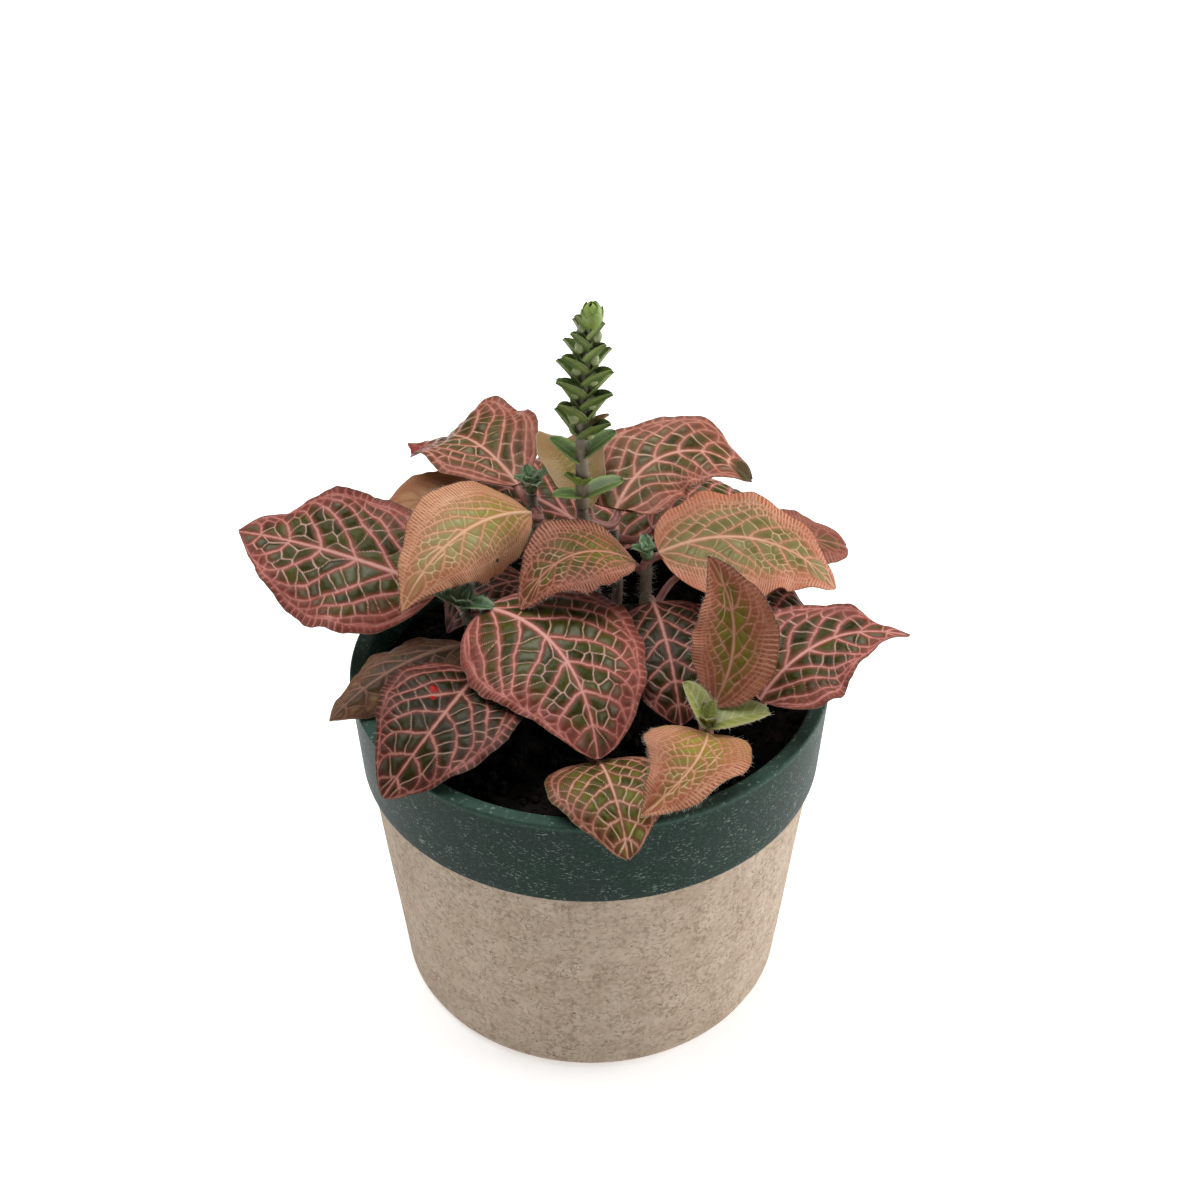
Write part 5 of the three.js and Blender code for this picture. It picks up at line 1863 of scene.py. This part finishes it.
LEAVES = [
    Leaf(
        "leaf_left", "stem_left", base=(-37.5, 7, 112), tip=(-89.4, 23.8, 118), half=(21, 20), belly=0.4,
        point=1.1, arch=5, sway=-3, roll=-23, fold=(2, 4), curl=(-12, -12), wave=(2.3, 2.5, 0.38),
        look=Look.DEEP,
    ),
    Leaf(
        "leaf_front", "stem_left", base=(-26, 0, 112), tip=(2.2, -42.5, 100), half=(24, 22), belly=0.36,
        point=0.75, arch=8, sway=-5, hook=1, roll=6, fold=(-4, -4), curl=(-16, -16), wave=(0.4, 3, 0.2),
        look=Look.DEEP,
    ),
    Leaf(
        "leaf_left_front", "stem_back_left", base=(-15, 24.5, 123), tip=(-46, -8.5, 118), half=(15, 15),
        belly=0.38, point=1.15, arch=8, sway=0.8, hook=2, roll=-8, fold=(-22, 16), curl=(-60, -14),
        wave=(0.6, 3, 0.3), look=Look.AMBER, style=Veins.CLOSE, fringe=260,
        flaws=((0, 0.35, -0.72, 0.9),),
    ),
    Leaf(
        "leaf_back_left", "stem_back_left", base=(-18.5, 34, 125), tip=(-42, 66, 117), half=(17, 17.5),
        belly=0.48, point=0.7, arch=6.5, hook=3, roll=-6, fold=(16, 16), curl=(-12, -12),
        wave=(2.2, 2.2, 0.25), look=Look.OLIVE, flaws=((2, 0.75, -1.0, 9.0), (2, 0.98, 0.0, 9.0)),
    ),
    Leaf(
        "leaf_left_back", "stem_back_left", node=0.6, base=(-22, 30, 116), tip=(-56, 36, 116),
        half=(14, 14), arch=5, hook=3, roll=-12, fold=(0, 0), curl=(-15, -15), wave=(0.8, 3, 0.6),
        look=Look.RUSSET, style=Veins.CLOSE,
    ),
    Leaf(
        "leaf_behind_spike", "stem_spike", node=0.75, base=(0, 26, 123.5), tip=(-6, 49, 131),
        half=(12.5, 7.5), belly=0.55, point=0.6, arch=3, hook=2, roll=5, fold=(15, 25), curl=(10, 20),
        wave=(0.8, 2.5, 0.2), look=Look.TAN, style=Veins.CLOSE,
    ),
    Leaf(
        "leaf_back_right", "stem_spike", base=(6.5, 27, 122.5), tip=(42, 41.5, 125.5), half=(14, 13.5),
        belly=0.27, point=0.45, arch=5, sway=-9, hook=5, fold=(24, -10), curl=(-14, -20),
        wave=(1.0, 2.5, 0.5), look=Look.OLIVE, flaws=((0, 0.98, 0.0, 11.0),),
    ),
    Leaf(
        "leaf_middle", "stem_middle", base=(11, 8.5, 119.5), tip=(-17.2, -4.5, 115), half=(13.5, 13.5),
        belly=0.42, point=0.95, arch=8.5, sway=1.5, hook=1, roll=-10, fold=(12, 8), curl=(-18, -18),
        wave=(0.8, 2.5, 0.4), look=Look.ROSE, style=Veins.HALF, fringe=200,
    ),
    Leaf(
        "leaf_right", "stem_middle", base=(17, 9.5, 121.5), tip=(61.7, 8, 112), half=(17.5, 20.5),
        belly=0.34, point=0.8, arch=7, sway=-4, hook=1, roll=8, fold=(6, 2), curl=(-15, -15),
        wave=(0.9, 4, 0.2), look=Look.CORAL, style=Veins.HALF,
    ),
    Leaf(
        "leaf_right_behind", "stem_middle", node=0.6, base=(24, 18, 110), tip=(66, 27, 111.5),
        half=(14, 14), belly=0.42, point=0.5, arch=5, hook=1, roll=4, fold=(6, 6), curl=(-18, -18),
        wave=(0.8, 3, 0.2), look=Look.PINK, style=Veins.HALF,
    ),
    Leaf(
        "leaf_front_inner", "stem_middle", node=0.75, base=(15.5, 4, 110.5), tip=(22, -28, 98),
        half=(16, 16), belly=0.36, point=0.8, arch=5, hook=1, roll=6, fold=(0, 0), curl=(-18, -18),
        wave=(0.5, 3, 0.2), look=Look.SHADED,
    ),
    Leaf(
        "leaf_rim_left", "stem_rim_left", base=(-27, -15.5, 103.5), tip=(-48.8, -46.3, 91), half=(18, 18),
        belly=0.35, point=0.9, arch=7, sway=-3.5, roll=-4, fold=(10, 10), curl=(-16, -16),
        wave=(0.5, 3, 0.2), look=Look.SHADED, flaws=((1, 0.28, 0.34, 1.9), (1, 0.34, 0.27, 1.2)),
    ),
    Leaf(
        "leaf_left_low", "stem_left", node=0.5, base=(-31, -1, 101), tip=(-63, -25, 96.5), half=(12, 8.5),
        belly=0.4, point=1, arch=4.5, sway=0.5, fold=(-34, 4), curl=(-25, -20), wave=(0.8, 3, 0.2),
        look=Look.DUSK,
    ),
    Leaf(
        "leaf_rim_front", "stem_front", base=(2, -39, 96.5), tip=(9, -65.5, 91), half=(15, 15.5),
        belly=0.32, point=0.8, arch=5.5, hook=1.5, fold=(4, 6), curl=(-14, -14), wave=(0.4, 3, 0.2),
        look=Look.FRESH,
    ),
    Leaf(
        "leaf_shoot_upright", "stem_front_right", base=(28.8, -33, 108.5), tip=(27.4, -13, 138),
        half=(11, 11.5), belly=0.4, point=1.1, arch=1, sway=5.5, fold=(20, 26), curl=(-8, -8),
        wave=(0.5, 3, 0.2), look=Look.BRONZE, style=Veins.HALF, fringe=240,
    ),
    Leaf(
        "leaf_shoot_front", "stem_front_right", base=(27.5, -39, 105), tip=(11.3, -59.4, 98),
        half=(12.5, 14), belly=0.3, point=1.1, arch=5, sway=-5, roll=12, fold=(6, 26), curl=(-16, -16),
        wave=(0.9, 2, 0.2), look=Look.APRICOT, style=Veins.HALF, fringe=300,
    ),
    Leaf(
        "leaf_right_low", "stem_right", base=(40.5, -28, 106), tip=(77, -15, 115), half=(15.5, 17),
        belly=0.28, point=1.35, arch=6, sway=-4, roll=8, fold=(8, 8), curl=(-12, -12), wave=(1.0, 3, 0.2),
        look=Look.DEEP,
    ),
    Leaf(
        "leaf_left_under", "stem_back_left", node=0.5, base=(-15, 19, 105.5), tip=(-37, 8, 99),
        half=(11, 13), arch=5, hook=2, curl=(-20, -20), wave=(0.9, 3, 0.5), look=Look.SHADED,
    ),
    Leaf(
        "leaf_right_under", "stem_middle", node=0.42, base=(28, 8, 101), tip=(60, 9, 98), half=(14, 14),
        arch=6, hook=2, curl=(-20, -20), wave=(0.9, 3, 0.15), look=Look.SHADED, step=0.5,
    ),
    Leaf(
        "leaf_back_low_left", "stem_back", base=(-4, 43, 107), tip=(-46, 70, 96), half=(18, 19), arch=8,
        hook=2, wave=(1.0, 3, 0.7), look=Look.DEEP, step=0.45,
    ),
    Leaf(
        "leaf_back_middle", "stem_back", node=0.7, base=(7, 44, 97), tip=(7, 87, 92), half=(21, 21), arch=8,
        hook=2, wave=(1.0, 3, 0.1), look=Look.DEEP, step=0.45,
    ),
    Leaf(
        "leaf_back_low_right", "stem_back", base=(16, 40, 107), tip=(52, 62, 96), half=(17, 17), arch=6,
        hook=2, wave=(1.0, 3, 0.4), look=Look.DEEP, step=0.45,
    ),
]

TIPS = [
    ShootTip(
        "tip_back_left", "stem_back_left", fuzz=900, inner=2, shade=0.6,
        leaves=[(200, 50, 6), (290, 45, 6), (20, 50, 6), (110, 55, 6), (245, 70, 5), (335, 72, 5)],
    ),
    ShootTip(
        "tip_left", "stem_left", fuzz=300, inner=0,
        leaves=[(165, 20, 8), (-20, 12, 8), (250, 50, 6), (70, 50, 6), (30, 70, 4)],
    ),
    ShootTip("tip_middle", "stem_middle", fuzz=90, leaves=[(200, 40, 5), (100, 45, 5), (-40, 60, 4)]),
    ShootTip(
        "tip_front_right", "stem_front_right", fuzz=420, inner=0, lime=True,
        leaves=[(10, 12, 15), (150, 62, 12), (60, 70, 6), (-100, 60, 5)],
    ),
]


@dataclass
class Plant:
    """The stems with their leaves, the flower spike and the shoot tips."""

    mix: PottingMix
    steps: int = 200  # in a stem's middle line
    leaf_seed: int = 100
    tip_seed: int = 200

    def build(self) -> None:
        """Makes every piece of the plant."""
        finishes = Finishes()
        for seed, stem in enumerate(STEMS):
            stem.nodes = sorted({leaf.node for leaf in LEAVES if leaf.stem == stem.name})
            stem.build(self.mix, [finishes.stem, finishes.hair], seed)
        paths = {stem.name: stem.path(self.mix, self.steps) for stem in STEMS}
        for seed, leaf in enumerate(LEAVES, self.leaf_seed):
            leaf.build(paths[leaf.stem], finishes, seed)
        FlowerSpike().build(finishes)
        tops = {stem.name: stem.top for stem in STEMS}
        for seed, tip in enumerate(TIPS, self.tip_seed):
            tip.build(tops[tip.stem], finishes, seed)


# ---- Studio ----
@dataclass
class Studio:
    """A pale floor, soft lights and the camera."""

    floor_size: float = 6.0
    floor_greys: Pair = (0.90, 0.92)
    floor_glow: float = 0.5
    room: float = 0.12  # how brightly the white room shines
    target: Place = (0.00244, 0.0, 0.1144)
    distance: float = 0.52
    pitch: float = 37.7
    lens: float = 63.8

    def floor(self) -> None:
        """The floor."""
        half = self.floor_size / 2.0
        mesh = bpy.data.meshes.new("floor")
        corners = [(-half, -half, 0), (half, -half, 0), (half, half, 0), (-half, half, 0)]
        mesh.from_pydata(corners, [], [(0, 1, 2, 3)])
        sheet = Sheet("pale floor")
        dark, pale = self.floor_greys
        colour = sheet.mix(sheet.noise(400.0), (dark, dark, dark), (pale, pale, pale))
        glow = {"Emission Color": (*WHITE, 1.0), "Emission Strength": self.floor_glow}
        mesh.materials.append(sheet.done(colour, 0.7, glow=glow))
        in_scene("floor", mesh)

    def light(self, name: str, place: Place, size: float, power: float, colour: Colour = WHITE) -> None:
        """A square soft light that faces the plant.

        Args:
            name: its name.
            place: where it stands, in metres.
            size: its side in metres.
            power: in watts.
            colour: its colour.
        """
        lamp = bpy.data.lights.new(name, "AREA")
        lamp.size = size
        lamp.energy = power
        lamp.color = colour
        made = in_scene(name, lamp)
        made.location = place
        aim = Vector(self.target) - Vector(place)
        made.rotation_euler = aim.to_track_quat("-Z", "Y").to_euler()

    def camera(self) -> None:
        """The camera, at the photograph's viewing angle."""
        pitch = math.radians(self.pitch)
        view = Vector((0.0, math.cos(pitch), -math.sin(pitch)))
        lens = bpy.data.cameras.new("camera")
        lens.lens = self.lens
        lens.sensor_width = 36.0
        lens.clip_start = 0.01
        made = in_scene("camera", lens)
        made.location = Vector(self.target) - view * self.distance
        made.rotation_euler = view.to_track_quat("-Z", "Y").to_euler()
        bpy.context.scene.camera = made

    def build(self) -> None:
        """Sets everything up."""
        self.floor()
        self.camera()
        self.light("overhead", (-0.15, 0.25, 1.25), 1.2, 17.5)
        self.light("left side", (-1.25, 0.0, 0.55), 0.9, 2.2, (1.0, 0.985, 0.96))
        self.light("right side", (1.25, 0.1, 0.35), 0.9, 15.5)
        world = bpy.data.worlds.new("white room")
        world.use_nodes = True
        backdrop = world.node_tree.nodes["Background"]
        backdrop.inputs["Color"].default_value = (*WHITE, 1.0)
        backdrop.inputs["Strength"].default_value = self.room
        bpy.context.scene.world = world
        bpy.context.scene.view_settings.view_transform = "Standard"


def main() -> None:
    """Loads the solids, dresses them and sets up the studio."""
    logging.basicConfig(level=logging.INFO, format="%(name)s: %(message)s")
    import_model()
    Studio().build()
    pot = Pot()
    pot.build()
    mix = PottingMix(pot)
    mix.build()
    Plant(mix).build()
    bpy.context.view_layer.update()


if __name__ == "__main__":
    main()
